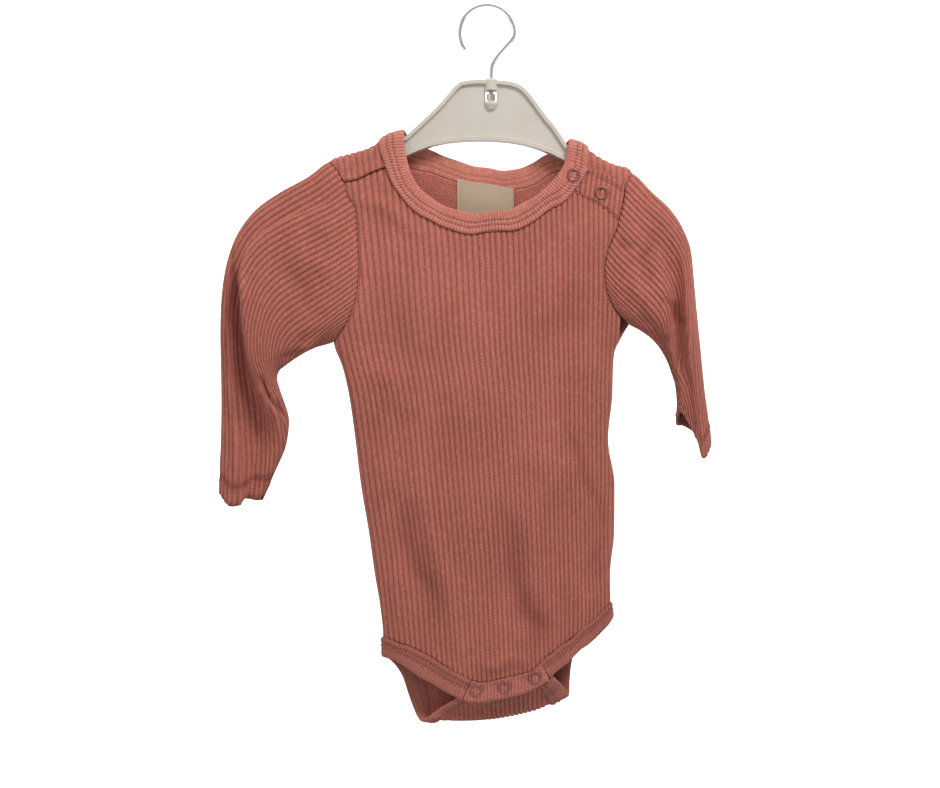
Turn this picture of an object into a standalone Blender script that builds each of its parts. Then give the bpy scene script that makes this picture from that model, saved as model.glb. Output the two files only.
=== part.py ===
"""A baby's long-sleeved rib-knit bodysuit hanging on a moulded child's hanger.

Frame: +Z up, the garment's front faces -Y, +X is the viewer's right. The origin is the inside top
of the hook, where a rail or peg carries it. Every size below is in millimetres. "Drop" is the
distance below the hanger's top edge. Cloth is laid out by "girth": the distance over the shoulder
crest, negative on the front and positive on the back.
"""

import math

import bmesh
import bpy
import numpy as np

MM = 0.001

# Driving sizes
HANGER_TOP = 52.0        # below the hook's seat
CLOTH = 1.5              # wall of the rib knit
BAND = 1.8               # wall of the bound bands
SEAM_GAP = 0.3           # between neighbouring pieces
CREST_RADIUS = 6.6       # how the cloth rounds over the shoulder
FOLD_RADIUS = 5.6        # how the back rounds under the crotch
LAP = 2.4                # how far the placket stands out over the back's lap
TUCK = 2.2               # how far the crotch tab lies behind the snap strip
SIDE_POWER = 2.6         # squareness of the flattened body's cross-section
TAPE_WALL = 0.8          # wall of the woven label
RING_OUTER = 4.75
RING_INNER = 3.1
RING_HEIGHT = 0.9

# Shoulder crest: height of the fold of the cloth over the hanger, across the width
CREST_COLUMNS = ("across", "drop")
CREST = (
    (-150.0, 84.0), (-134.0, 72.0), (-118.8, 62.5), (-113.6, 57.6), (-107.0, 54.4), (-97.9, 51.9),
    (-86.4, 48.6), (-76.4, 43.4), (-69.6, 39.0), (-58.6, 35.6), (-36.0, 20.0), (0.0, 8.0),
    (38.0, 22.0), (58.2, 42.4), (66.4, 44.8), (72.0, 48.6), (80.7, 54.6), (91.4, 59.6),
    (100.7, 62.0), (105.0, 66.4), (118.0, 80.0), (140.0, 98.0),
)

# Body: where its side folds run and how deep its front and back stand, down the length
BODY_COLUMNS = ("drop", "left", "right", "front", "back")
BODY = (
    (0.0, -190.0, 185.0, 6.6, 6.6),
    (60.0, -186.0, 178.0, 6.8, 6.8),
    (100.0, -180.0, 166.0, 9.5, 8.5),
    (140.0, -163.0, 140.0, 12.6, 10.5),
    (160.0, -140.0, 116.0, 13.8, 11.6),
    (174.3, -120.0, 101.4, 14.4, 12.2),
    (187.1, -109.5, 94.0, 14.8, 12.6),
    (192.5, -108.0, 91.4, 15.0, 12.8),
    (203.0, -103.6, 90.2, 15.2, 13.0),
    (224.0, -98.6, 89.6, 15.4, 13.0),
    (256.0, -94.0, 86.6, 15.2, 12.6),
    (288.6, -90.0, 91.2, 14.6, 12.2),
    (320.7, -84.6, 91.0, 14.0, 12.0),
    (352.9, -80.0, 88.0, 13.4, 12.0),
    (374.3, -76.4, 88.4, 13.2, 11.6),
    (397.0, -74.2, 89.6, 13.2, 10.4),
    (412.0, -74.2, 89.6, 13.0, 9.4),
    (445.0, -74.0, 88.0, 12.6, 7.6),
    (470.0, -74.0, 88.0, 12.6, 7.2),
)

# The fold under the crotch, across the width
UNDER_COLUMNS = ("across", "drop")
UNDER = (
    (-60.0, 455.5), (-47.0, 456.8), (-33.6, 457.8), (-14.3, 458.2), (5.0, 457.0), (24.3, 453.6),
    (37.0, 450.0), (44.3, 446.6), (50.7, 443.2), (57.0, 439.4), (66.0, 433.0),
)

# Neckband, from its front end on the placket round the left shoulder to its end under the placket
NECK_COLUMNS = ("inner across", "inner drop", "outer across", "outer drop", "side")
NECK = (
    (55.4, 58.6, 72.1, 64.6, "front"),
    (52.1, 65.4, 66.8, 73.0, "front"),
    (46.4, 72.6, 60.7, 81.1, "front"),
    (38.6, 80.0, 50.2, 90.6, "front"),
    (26.4, 87.9, 34.3, 101.0, "front"),
    (12.1, 94.0, 15.0, 108.6, "front"),
    (-5.4, 95.9, -7.9, 110.7, "front"),
    (-22.9, 92.9, -29.3, 106.3, "front"),
    (-35.4, 87.6, -45.0, 98.6, "front"),
    (-46.2, 79.0, -59.3, 86.0, "front"),
    (-53.4, 67.9, -68.8, 71.6, "front"),
    (-57.2, 55.0, -74.0, 57.0, "front"),
    (-58.8, 44.3, -76.6, 49.0, "front"),
    (-58.6, 35.6, -76.8, 43.6, "crest"),
    (-54.6, 40.8, -71.0, 51.0, "back"),
    (-47.0, 45.4, -60.4, 58.4, "back"),
    (-36.7, 49.6, -46.0, 63.4, "back"),
    (-23.1, 55.0, -28.0, 69.2, "back"),
    (-5.4, 60.2, -8.0, 74.6, "back"),
    (8.6, 62.4, 9.0, 77.0, "back"),
    (20.7, 61.8, 23.6, 76.0, "back"),
    (31.0, 58.2, 37.0, 71.4, "back"),
    (42.1, 51.6, 51.0, 63.6, "back"),
    (51.6, 46.0, 63.4, 55.2, "back"),
    (58.2, 42.4, 72.0, 48.6, "crest"),
    (57.0, 50.6, 71.9, 56.6, "front"),
    (54.6, 60.0, 69.8, 68.0, "front"),
)
NECK_AT_SHOULDER = 10.6   # station where the left shoulder seam meets the band
NECK_AT_PLACKET = 2.0     # station where the placket's lower seam meets the band
NECK_END = len(NECK) - 1

# Seams as (across, drop); the side each lies on is given where it is used
SHOULDER_SEAM = ((-101.4, 72.9), (-92.0, 71.2), (-82.0, 66.4), (-72.2, 62.8))
PLACKET_SEAM = ((60.7, 81.1), (69.3, 85.2), (79.3, 90.2), (86.4, 95.4), (92.6, 101.0))
PLACKET_TOP = ((72.1, 64.6), (80.7, 66.4), (89.3, 71.0), (97.0, 76.2))
PLACKET_END = ((97.0, 76.2), (95.9, 86.0), (92.6, 101.0))
LAP_EDGE = ((70.4, 68.0), (71.6, 77.0), (79.3, 84.4), (88.0, 90.0), (94.6, 93.6))
ARMHOLE_TOP_LEFT = ((-113.6, 57.6), (-107.6, 63.4), (-101.4, 72.9))
ARMHOLE_TOP_RIGHT = ((104.6, 66.0), (98.6, 75.0), (96.6, 86.0), (92.6, 101.0))
ARMHOLE_FRONT_LEFT = ((-101.4, 72.9), (-98.4, 84.0), (-93.2, 93.0), (-91.4, 114.3), (-90.6, 135.0),
                      (-92.9, 156.4), (-98.6, 172.0), (-104.4, 180.6), (-109.5, 187.1))
ARMHOLE_FRONT_RIGHT = ((92.6, 101.0), (91.6, 106.6), (85.4, 121.4), (82.8, 136.4), (85.0, 152.9),
                       (91.8, 165.7), (101.4, 174.3))
ARMHOLE_BACK_LEFT = ((-113.6, 57.6), (-109.4, 74.0), (-103.4, 100.0), (-100.4, 130.0),
                     (-101.6, 158.0), (-105.4, 176.0), (-109.5, 187.1))
ARMHOLE_BACK_RIGHT = ((104.6, 66.0), (100.0, 84.0), (95.0, 106.0), (92.6, 130.0),
                      (94.6, 152.0), (97.8, 166.0), (101.4, 174.3))

# Leg bands, from the snap strip round the side and the back to the crotch tab
LEG_COLUMNS = ("seam across", "seam drop", "free across", "free drop", "side")
LEG_LEFT = (
    (-11.4, 425.0, -17.9, 439.3, "front"),
    (-24.3, 418.4, -31.4, 432.4, "front"),
    (-35.7, 411.4, -45.0, 424.8, "front"),
    (-46.0, 405.7, -55.6, 418.2, "front"),
    (-55.6, 401.8, -63.6, 413.4, "front"),
    (-65.0, 399.0, -69.6, 411.6, "front"),
    (-74.2, 397.0, -74.2, 411.0, "side"),
    (-68.0, 398.6, -70.4, 413.4, "back"),
    (-58.4, 403.6, -65.4, 418.6, "back"),
    (-50.6, 411.4, -60.6, 426.4, "back"),
    (-45.6, 423.6, -57.0, 437.0, "back"),
    (-42.0, 438.0, -53.2, 448.0, "back"),
    (-37.6, 457.6, -47.6, 456.8, "under"),
    (-27.0, 451.0, -37.4, 449.4, "tab"),
    (-16.6, 443.0, -27.4, 442.0, "tab"),
    (-6.0, 434.0, -16.6, 434.6, "tab"),
    (-1.6, 430.0, -12.4, 431.2, "tab"),
)
LEG_RIGHT = (
    (37.0, 413.6, 44.3, 423.6, "front"),
    (44.0, 407.4, 50.9, 417.6, "front"),
    (53.0, 400.0, 59.4, 410.6, "front"),
    (64.4, 391.4, 70.4, 401.4, "front"),
    (75.0, 383.4, 80.6, 392.8, "front"),
    (83.6, 375.6, 87.2, 386.0, "front"),
    (88.3, 372.0, 89.0, 382.4, "side"),
    (82.6, 374.4, 84.4, 387.6, "back"),
    (73.0, 380.0, 77.0, 393.4, "back"),
    (62.0, 388.6, 69.4, 400.4, "back"),
    (53.4, 399.4, 63.0, 409.4, "back"),
    (49.0, 413.6, 60.6, 420.0, "back"),
    (45.6, 445.8, 58.6, 438.6, "under"),
    (41.6, 437.0, 53.4, 430.4, "tab"),
    (37.6, 430.4, 48.4, 424.6, "tab"),
    (34.6, 426.0, 44.6, 420.4, "tab"),
    (32.6, 422.0, 42.4, 416.8, "tab"),
)
STRIP_COLUMNS = ("upper across", "upper drop", "lower across", "lower drop")
STRIP = (
    (-11.0, 425.3, -17.4, 439.7),
    (-2.0, 426.6, -5.6, 441.0),
    (14.3, 423.2, 11.0, 438.2),
    (30.0, 419.2, 28.0, 434.0),
    (36.8, 413.8, 42.4, 426.4),
)

# Sleeves: a station for each section from the armhole to the cuff. Flap, valley and ridge are the
# folds down the front: how far across they lie, from the outer fold, and how far they stand out.
SLEEVE_COLUMNS = ("along", "outer across", "outer drop", "inner across", "inner drop", "front",
                  "back", "flap at", "flap", "valley", "ridge at", "ridge")
SLEEVE_LEFT = (
    (0.00, -113.6, 57.6, -109.5, 187.1, 9.0, 8.0, 0.06, 5.0, 6.0, 0.20, 9.0),
    (0.10, -127.9, 68.4, -119.3, 189.4, 12.0, 9.0, 0.06, 6.0, 7.0, 0.20, 12.0),
    (0.22, -147.9, 79.6, -127.9, 193.0, 13.5, 10.0, 0.06, 6.5, 8.0, 0.20, 13.5),
    (0.34, -166.4, 93.2, -136.4, 198.0, 14.0, 11.0, 0.06, 7.0, 7.0, 0.22, 14.0),
    (0.46, -180.0, 112.6, -143.6, 203.4, 14.0, 11.0, 0.07, 7.5, 5.0, 0.28, 15.0),
    (0.56, -187.0, 135.0, -148.6, 207.6, 14.0, 11.0, 0.10, 8.5, 3.0, 0.44, 16.5),
    (0.64, -190.0, 160.0, -150.0, 213.0, 13.0, 11.0, 0.14, 9.5, 1.5, 0.55, 17.0),
    (0.72, -190.7, 185.0, -148.2, 220.0, 11.0, 10.0, 0.16, 10.0, 0.6, 0.64, 16.0),
    (0.79, -190.2, 210.0, -145.0, 229.0, 9.0, 10.0, 0.18, 10.0, 0.0, 0.74, 13.5),
    (0.86, -189.6, 233.6, -141.4, 243.0, 6.0, 10.0, 0.22, 10.0, 0.0, 0.84, 9.0),
    (0.92, -190.0, 256.4, -143.2, 259.4, 4.5, 9.0, 0.28, 9.6, 0.0, 0.86, 5.0),
    (0.965, -191.2, 276.4, -150.7, 278.0, 4.0, 8.0, 0.41, 9.0, 0.4, 0.86, 4.0),
    (1.00, -191.2, 293.6, -160.6, 299.0, 3.6, 7.0, 0.56, 8.6, 0.8, 0.88, 3.6),
)
SLEEVE_RIGHT = (
    (0.00, 104.6, 66.0, 101.4, 174.3, 9.0, 8.0, 0.10, 5.0, 7.6, 0.30, 9.0),
    (0.12, 117.9, 79.6, 107.1, 177.0, 12.0, 12.0, 0.12, 7.6, 10.4, 0.34, 12.0),
    (0.25, 130.7, 91.4, 112.9, 180.6, 13.4, 15.0, 0.16, 10.0, 11.0, 0.42, 13.0),
    (0.38, 140.0, 105.4, 117.9, 184.6, 14.0, 17.0, 0.22, 12.0, 9.0, 0.60, 14.0),
    (0.50, 145.7, 121.4, 122.9, 190.0, 14.4, 18.5, 0.30, 13.6, 6.4, 0.72, 12.6),
    (0.60, 147.9, 142.0, 126.4, 195.6, 14.4, 19.0, 0.36, 14.4, 4.8, 0.86, 9.6),
    (0.68, 150.0, 163.6, 129.3, 201.4, 14.0, 19.0, 0.42, 14.0, 4.0, 0.90, 6.6),
    (0.76, 152.1, 185.0, 132.1, 208.4, 13.0, 18.5, 0.46, 13.0, 5.0, 0.92, 5.4),
    (0.84, 154.3, 206.4, 135.0, 217.4, 12.4, 18.0, 0.48, 12.4, 7.0, 0.90, 6.0),
    (0.90, 156.4, 224.3, 135.8, 228.0, 12.4, 18.0, 0.50, 12.4, 8.6, 0.86, 7.0),
    (0.95, 158.6, 240.6, 135.6, 235.4, 12.4, 18.0, 0.50, 12.4, 9.0, 0.86, 7.4),
    (1.00, 160.0, 257.6, 135.8, 241.0, 12.4, 18.0, 0.50, 12.4, 9.4, 0.86, 7.6),
)
# How the cuff's edge hangs below the straight line between its folds
HEM_COLUMNS = ("across", "front droop", "back droop")
HEM_LEFT = ((0.0, 0.0, 0.0), (0.3, 8.0, 2.0), (0.52, 6.0, 2.0), (0.62, 1.0, 2.0), (0.85, 1.0, 1.0),
            (1.0, 0.0, 0.0))
HEM_RIGHT = ((0.0, 0.0, 0.0), (0.13, 8.9, 1.0), (0.32, 16.7, 0.0), (0.46, 9.0, 0.0),
             (0.68, 0.4, 0.6), (0.94, -5.6, 3.8), (1.0, 0.0, 0.0))

# Hanger
PLATE_HALF = 3.5
WEB_HALF = 1.5
RIM = 2.6
RIM_BEVEL = 0.7
ARM_UNDER_CREST = 6.4    # clearance of the arm's top below the cloth's middle layer
ARM_DEPTH = 14.5
ARM_TIPS = (-110.6, 101.6)
CROWN = ((-57.9, 40.2), (-37.1, 20.7), (-27.0, 9.4), (-22.1, 3.9), (-18.8, 1.4), (-10.7, 0.2), (-1.4, 0.0),
         (9.0, 0.4), (18.6, 1.7), (23.6, 3.6), (27.9, 6.9), (32.1, 11.9), (42.1, 25.6), (49.3, 34.4),
         (57.0, 46.4))
ARCH = ((55.4, 57.4), (42.1, 51.0), (24.3, 45.4), (6.4, 43.2), (-5.0, 42.9), (-22.9, 43.7),
        (-40.7, 47.2), (-58.4, 54.4))
SOCKET_AT = 2.9
SOCKET_RADIUS = 5.0
SOCKET_FOOT = 22.6
WIRE = 1.5
BEND_RADIUS = 18.0
HOOK_OPENS_AT = -128.0    # degrees from the top of the bend to the wire's free end
HOOK_CLOSES_AT = 90.0
HOOK_STEPS = 34
HOOK_SIDES = 10
SWAN_NECK = ((17.9, -23.0), (8.3, -34.0), (3.7, -41.0), (2.9, -46.0))   # across, height
NECK_STEPS = 16


def column(table, names, name):
    """One named column of a table, as numbers."""
    place = names.index(name)
    return np.array([row[place] for row in table], float)


def read(at, knots, values):
    """A table read with a smooth curve that never overshoots its rows (monotone cubic)."""
    at = np.clip(at, knots[0], knots[-1])
    steps = np.diff(knots)
    slopes = np.diff(values) / steps
    inner = np.where(slopes[:-1] * slopes[1:] > 0,
                     2 * slopes[:-1] * slopes[1:] / (slopes[:-1] + slopes[1:] + 1e-12), 0.0)
    tangents = np.concatenate([slopes[:1], inner, slopes[-1:]])
    i = np.clip(np.searchsorted(knots, at, side="right") - 1, 0, len(steps) - 1)
    h = steps[i]
    t = (at - knots[i]) / h
    return (values[i] * (1 + 2 * t) * (1 - t) ** 2 + tangents[i] * h * t * (1 - t) ** 2
            + values[i + 1] * t * t * (3 - 2 * t) + tangents[i + 1] * h * t * t * (t - 1))


def read_column(table, names, name, at):
    """A named column of a table, read smoothly against the table's first column."""
    return read(at, column(table, names, names[0]), column(table, names, name))


def ease(t):
    """A smooth step from 0 to 1."""
    t = np.clip(t, 0.0, 1.0)
    return t * t * (3 - 2 * t)


def through(points, count):
    """Points spaced evenly along a smooth curve through the given ones (Catmull-Rom)."""
    points = np.asarray(points, float)
    ends = np.vstack([2 * points[0] - points[1], points, 2 * points[-1] - points[-2]])
    t = np.linspace(0, len(points) - 1, 40 * len(points))
    i = np.minimum(t.astype(int), len(points) - 2)
    f = (t - i)[:, None]
    a, b, c, d = ends[i], ends[i + 1], ends[i + 2], ends[i + 3]
    fine = 0.5 * (2 * b + (c - a) * f + (2 * a - 5 * b + 4 * c - d) * f ** 2
                  + (3 * b - a - 3 * c + d) * f ** 3)
    along = np.concatenate([[0], np.cumsum(np.linalg.norm(np.diff(fine, axis=0), axis=1))])
    even = np.linspace(0, along[-1], count)
    return np.stack([np.interp(even, along, fine[:, k]) for k in range(fine.shape[1])], 1)


# The draped surface

def crest(across):
    """Drop of the shoulder fold."""
    return read(across, column(CREST, CREST_COLUMNS, "across"), column(CREST, CREST_COLUMNS, "drop"))


def half_depth(across, drop, side):
    """How far the cloth's middle layer stands from the hanger's plane, front or back: a table down
    the length times a squared-off round across the width."""
    left = read_column(BODY, BODY_COLUMNS, "left", drop)
    right = read_column(BODY, BODY_COLUMNS, "right", drop)
    reach = np.clip(np.abs((2 * across - left - right) / (right - left)), 0.0, 1.0)
    return read_column(BODY, BODY_COLUMNS, side, drop) * np.sqrt(1 - reach ** SIDE_POWER)


def under_start(across):
    """Girth on the back at which the cloth starts to round under the crotch."""
    fold = read(across, column(UNDER, UNDER_COLUMNS, "across"), column(UNDER, UNDER_COLUMNS, "drop"))
    return girth_of_drop(across, fold - FOLD_RADIUS - CLOTH / 2)


def girth_of_drop(across, drop):
    """Distance over the shoulder's round and down to a drop."""
    below = np.maximum(drop - crest(across), 0.0)
    turn = np.arccos(np.clip(1 - below / CREST_RADIUS, -1.0, 1.0))
    straight = below - CREST_RADIUS + CREST_RADIUS * math.pi / 2
    return np.where(below < CREST_RADIUS, CREST_RADIUS * turn, straight)


def girth(across, drop, side):
    """The girth coordinate of a place given by its side of the garment."""
    across = np.asarray(across, float)
    plain = girth_of_drop(across, drop)
    start = under_start(across)
    half_turn = FOLD_RADIUS * math.pi / 2
    tab = start + 2 * half_turn + (start - plain)
    values = {"front": -plain, "crest": 0 * plain, "back": plain, "under": start + half_turn,
              "tab": tab}
    return values[side]


def place(across, along, lift=0.0):
    """Points of the draped cloth from its flat layout: across the width and along the girth. It
    rounds over the shoulder crest, hangs down front and back, and rounds under the crotch."""
    across, along = np.broadcast_arrays(np.asarray(across, float), np.asarray(along, float))
    over = np.abs(along)
    quarter = CREST_RADIUS * math.pi / 2
    turn = np.minimum(over, quarter) / CREST_RADIUS
    drop = crest(across) + CREST_RADIUS * (1 - np.cos(turn)) + np.maximum(over - quarter, 0.0)
    start = under_start(across)
    past = np.where(along > 0, np.maximum(along - start, 0.0), 0.0)
    bend = np.minimum(past / FOLD_RADIUS, math.pi)
    rise = np.maximum(past - FOLD_RADIUS * math.pi, 0.0)
    drop = drop - past + FOLD_RADIUS * np.sin(bend) - rise
    front = half_depth(across, drop, "front") * np.sin(turn)
    back = half_depth(across, np.where(past > 0, drop + rise, drop), "back") * np.sin(turn)
    lapped = lift * LAP * ease((across - 36.0) / 20.0) * ease((138.0 - drop) / 34.0)
    y_front = -np.maximum(front, 0.0) - lapped
    y_bend = back - FOLD_RADIUS * (1 - np.cos(bend))
    y_tab = -(half_depth(across, drop, "front") - TUCK)
    y_back = np.where(past > 0, y_bend + (y_tab - y_bend) * ease(rise / 14.0), back)
    return np.stack([across, np.where(along < 0, y_front, y_back), -HANGER_TOP - drop], -1)


def facing(across, along, lift=0.0):
    """Unit normals of the draped cloth, away from the garment's inside."""
    step = 0.05
    slide = (place(across + step, along, lift) - place(across - step, along, lift))
    climb = (place(across, along + step, lift) - place(across, along - step, lift))
    normal = np.cross(slide, climb)
    return normal / np.linalg.norm(normal, axis=-1, keepdims=True)


def layout(points, side):
    """A seam given by its places on one side, in the flat layout."""
    points = np.asarray(points, float)
    return np.stack([points[:, 0], girth(points[:, 0], points[:, 1], side)], 1)


def coons(top, bottom, left, right):
    """A net of points between four edges: both rulings added, less the corners' own ruling."""
    u = np.linspace(0, 1, len(top))[None, :, None]
    v = np.linspace(0, 1, len(left))[:, None, None]
    ruled = (1 - v) * top[None] + v * bottom[None] + (1 - u) * left[:, None] + u * right[:, None]
    corners = ((1 - u) * (1 - v) * top[0] + u * (1 - v) * top[-1]
               + (1 - u) * v * bottom[0] + u * v * bottom[-1])
    return ruled - corners


# Meshes

def drawn_in(points, wrapped, gap=SEAM_GAP / 2):
    """The net with its outer rows drawn in, which leaves a gap to its neighbours at the seams."""
    result = points.copy()
    pairs = [((0, slice(None)), (1, slice(None))), ((-1, slice(None)), (-2, slice(None)))]
    if not wrapped:
        pairs += [((slice(None), 0), (slice(None), 1)), ((slice(None), -1), (slice(None), -2))]
    for edge, inside in pairs:
        step = points[inside] - points[edge]
        result[edge] += gap * step / (np.linalg.norm(step, axis=-1, keepdims=True) + 1e-9)
    return result


def net_normals(points, wrapped):
    """Unit normals of a net from its own neighbours."""
    if wrapped:
        slide = np.roll(points, -1, 1) - np.roll(points, 1, 1)
    else:
        slide = np.gradient(points, axis=1)
    normal = np.cross(np.gradient(points, axis=0), slide)
    return normal / (np.linalg.norm(normal, axis=-1, keepdims=True) + 1e-12)


def shell(points, normals, wall, wrapped=False):
    """Vertices and faces of a wall of even thickness about a net of points."""
    rows, columns = points.shape[:2]
    skins = [points + normals * wall / 2, points - normals * wall / 2]
    vertices = np.concatenate([skin.reshape(-1, 3) for skin in skins])
    count = rows * columns
    faces = []
    turns = columns if wrapped else columns - 1
    for i in range(rows - 1):
        for j in range(turns):
            k = (j + 1) % columns
            a, b, c, d = i * columns + j, (i + 1) * columns + j, (i + 1) * columns + k, i * columns + k
            faces += [(a, b, c, d), (count + a, count + d, count + c, count + b)]
    rim = []
    for j in range(turns):
        rim.append((j, (j + 1) % columns))
        last = (rows - 1) * columns
        rim.append((last + (j + 1) % columns, last + j))
    if not wrapped:
        for i in range(rows - 1):
            rim.append(((i + 1) * columns, i * columns))
            rim.append((i * columns + columns - 1, (i + 1) * columns + columns - 1))
    faces += [(a, b, count + b, count + a) for a, b in rim]
    return vertices, faces


def material(name, colour, roughness, metallic=0.0):
    """A Principled material."""
    made = bpy.data.materials.new(name)
    made.use_nodes = True
    shader = made.node_tree.nodes["Principled BSDF"]
    shader.inputs["Base Color"].default_value = (*colour, 1.0)
    shader.inputs["Roughness"].default_value = roughness
    shader.inputs["Metallic"].default_value = metallic
    return made


def add_object(name, mesh, finish, smooth=math.radians(50)):
    """An object with its own finish, shaded smooth but for its sharp edges."""
    mesh.materials.append(finish)
    mesh.shade_smooth()
    mesh.set_sharp_from_angle(angle=smooth)
    made = bpy.data.objects.new(name, mesh)
    bpy.context.scene.collection.objects.link(made)
    return made


def add_mesh(name, vertices, faces, finish):
    """A closed mesh from millimetres, with its faces turned outwards."""
    mesh = bpy.data.meshes.new(name)
    mesh.from_pydata((np.asarray(vertices) * MM).tolist(), [], faces)
    work = bmesh.new()
    work.from_mesh(mesh)
    bmesh.ops.triangulate(work, faces=work.faces)
    bmesh.ops.recalc_face_normals(work, faces=work.faces)
    work.to_mesh(mesh)
    work.free()
    return add_object(name, mesh, finish)


def add_cloth(name, points, finish, wall=CLOTH, normals=None, wrapped=False):
    """A cloth piece about its net of middle points."""
    if normals is None:
        normals = net_normals(points, wrapped)
    return add_mesh(name, *shell(drawn_in(points, wrapped), normals, wall, wrapped), finish)


def draped(net, lift=0.0):
    """Points and normals of a piece of the draped surface. At the side folds the front and the back
    stay a seam's gap apart and face straight outwards."""
    across, along = net[..., 0], net[..., 1]
    points = place(across, along, lift)
    normals = facing(across, along, lift)
    drop = -points[..., 2] - HANGER_TOP
    left = read_column(BODY, BODY_COLUMNS, "left", drop)
    right = read_column(BODY, BODY_COLUMNS, "right", drop)
    at_side = (np.minimum(np.abs(across - left), np.abs(across - right)) < 0.05) & (drop > 170)
    outward = np.sign(across)
    points[..., 1] = np.where(at_side, np.sign(along) * SEAM_GAP * 0.55, points[..., 1])
    flat = np.stack([outward, 0 * outward, 0 * outward], -1)
    return points, np.where(at_side[..., None], flat, normals)


# The pieces

def neck_edge(which, stations):
    """One edge of the neckband in the flat layout, at the given stations."""
    across = column(NECK, NECK_COLUMNS, which + " across")
    drop = column(NECK, NECK_COLUMNS, which + " drop")
    sides = [row[-1] for row in NECK]
    flat = [(x, float(girth(x, d, side))) for x, d, side in zip(across, drop, sides)]
    flat = np.array(flat)
    knots = np.arange(len(NECK), dtype=float)
    return np.stack([read(stations, knots, flat[:, 0]), read(stations, knots, flat[:, 1])], 1)


def leg_edge(table, which, rows, steps):
    """One edge of a leg band in the flat layout, for a run of the table's rows."""
    across = column(table, LEG_COLUMNS, which + " across")[rows]
    drop = column(table, LEG_COLUMNS, which + " drop")[rows]
    sides = [row[-1] for row in table][rows]
    side = "back" if "back" in sides else "front"
    flat = np.array([(x, float(girth(x, d, side if s == "side" else s)))
                     for x, d, s in zip(across, drop, sides)])
    knots = np.arange(len(flat), dtype=float)
    at = np.linspace(0, knots[-1], steps + 1)
    return np.stack([read(at, knots, flat[:, 0]), read(at, knots, flat[:, 1])], 1)


# How finely each run of seam is cut; pieces that meet share the same points
FRONT_ROWS = slice(0, 7)
BACK_ROWS = slice(6, 17)
LEG_STEPS_LEFT = 8
LEG_STEPS_RIGHT = 7
LEG_STEPS_BACK = 12
NECK_FRONT = np.linspace(NECK_AT_SHOULDER, NECK_AT_PLACKET, 13)
NECK_BACK = np.array([NECK_AT_SHOULDER, 11.3, 12.0, 12.5, 12.8, 13.0, 13.3, 13.7, 14.3, 15.2, 16.2, 17.2,
                      18.3, 19.3, 20.3, 21.3, 22.2, 23.0, 23.5, 23.8, 24.0, 24.2, 24.6, 25.2, 26.0])
NECK_PLACKET = np.linspace(0.0, NECK_AT_PLACKET, 6)
SHOULDER_STEPS = 3
PLACKET_STEPS = 4
ARMHOLE_STEPS = 7
SIDE_STEPS = 9
CREST_CUTS = np.array([0.0, 0.17, 0.34, 0.56, 1.0])
BACK_CUTS = np.array([0.0, 0.036, 0.075, 0.12, 0.2, 0.3, 0.42, 0.54, 0.66, 0.78, 0.9, 1.0])


def side_seam(side, which):
    """The side fold from the armpit to the leg band."""
    start = (187.1, 397.0) if which == "left" else (174.3, 372.0)
    drop = np.linspace(*start, SIDE_STEPS + 1)
    across = read_column(BODY, BODY_COLUMNS, which, drop)
    return np.stack([across, girth(across, drop, side)], 1)


def seam_run(points, side, steps):
    """A seam's points in the flat layout, evenly spaced along it."""
    return layout(through(points, steps + 1), side)


def cut_run(points, side, cuts):
    """A seam's points in the flat layout at given shares of its length, closer where it rounds."""
    flat = layout(through(points, 121), side)
    along = np.concatenate([[0], np.cumsum(np.linalg.norm(np.diff(flat, axis=0), axis=1))])
    wanted = cuts * along[-1]
    return np.stack([np.interp(wanted, along, flat[:, 0]), np.interp(wanted, along, flat[:, 1])], 1)


def front_net():
    """The front panel: shoulder seam, neck and placket seam above, leg seams and strip below."""
    top = np.vstack([seam_run(SHOULDER_SEAM, "front", SHOULDER_STEPS)[:-1],
                     neck_edge("outer", NECK_FRONT)[:-1],
                     seam_run(PLACKET_SEAM, "front", PLACKET_STEPS)])
    left_leg = leg_edge(LEG_LEFT, "seam", FRONT_ROWS, LEG_STEPS_LEFT)[::-1]
    right_leg = leg_edge(LEG_RIGHT, "seam", FRONT_ROWS, LEG_STEPS_RIGHT)
    strip = layout([row[:2] for row in STRIP], "front")
    bottom = np.vstack([left_leg, strip[1:-1], right_leg])
    left = np.vstack([seam_run(ARMHOLE_FRONT_LEFT, "front", ARMHOLE_STEPS)[:-1],
                      side_seam("front", "left")])
    right = np.vstack([seam_run(ARMHOLE_FRONT_RIGHT, "front", ARMHOLE_STEPS)[:-1],
                       side_seam("front", "right")])
    return coons(top, bottom, left, right)


def armhole_runs(which):
    """The armhole's front and back runs from the crest to the armpit. The front run starts with
    the stretch that the back panel carries over the shoulder."""
    left = which == "left"
    over = ARMHOLE_TOP_LEFT if left else ARMHOLE_TOP_RIGHT
    front = ARMHOLE_FRONT_LEFT if left else ARMHOLE_FRONT_RIGHT
    back = ARMHOLE_BACK_LEFT if left else ARMHOLE_BACK_RIGHT
    carried = cut_run(over, "front", CREST_CUTS)
    carried[0, 1] = 0.0
    back_run = cut_run(back, "back", BACK_CUTS)
    back_run[0, 1] = 0.0
    return carried, seam_run(front, "front", ARMHOLE_STEPS), back_run


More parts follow.
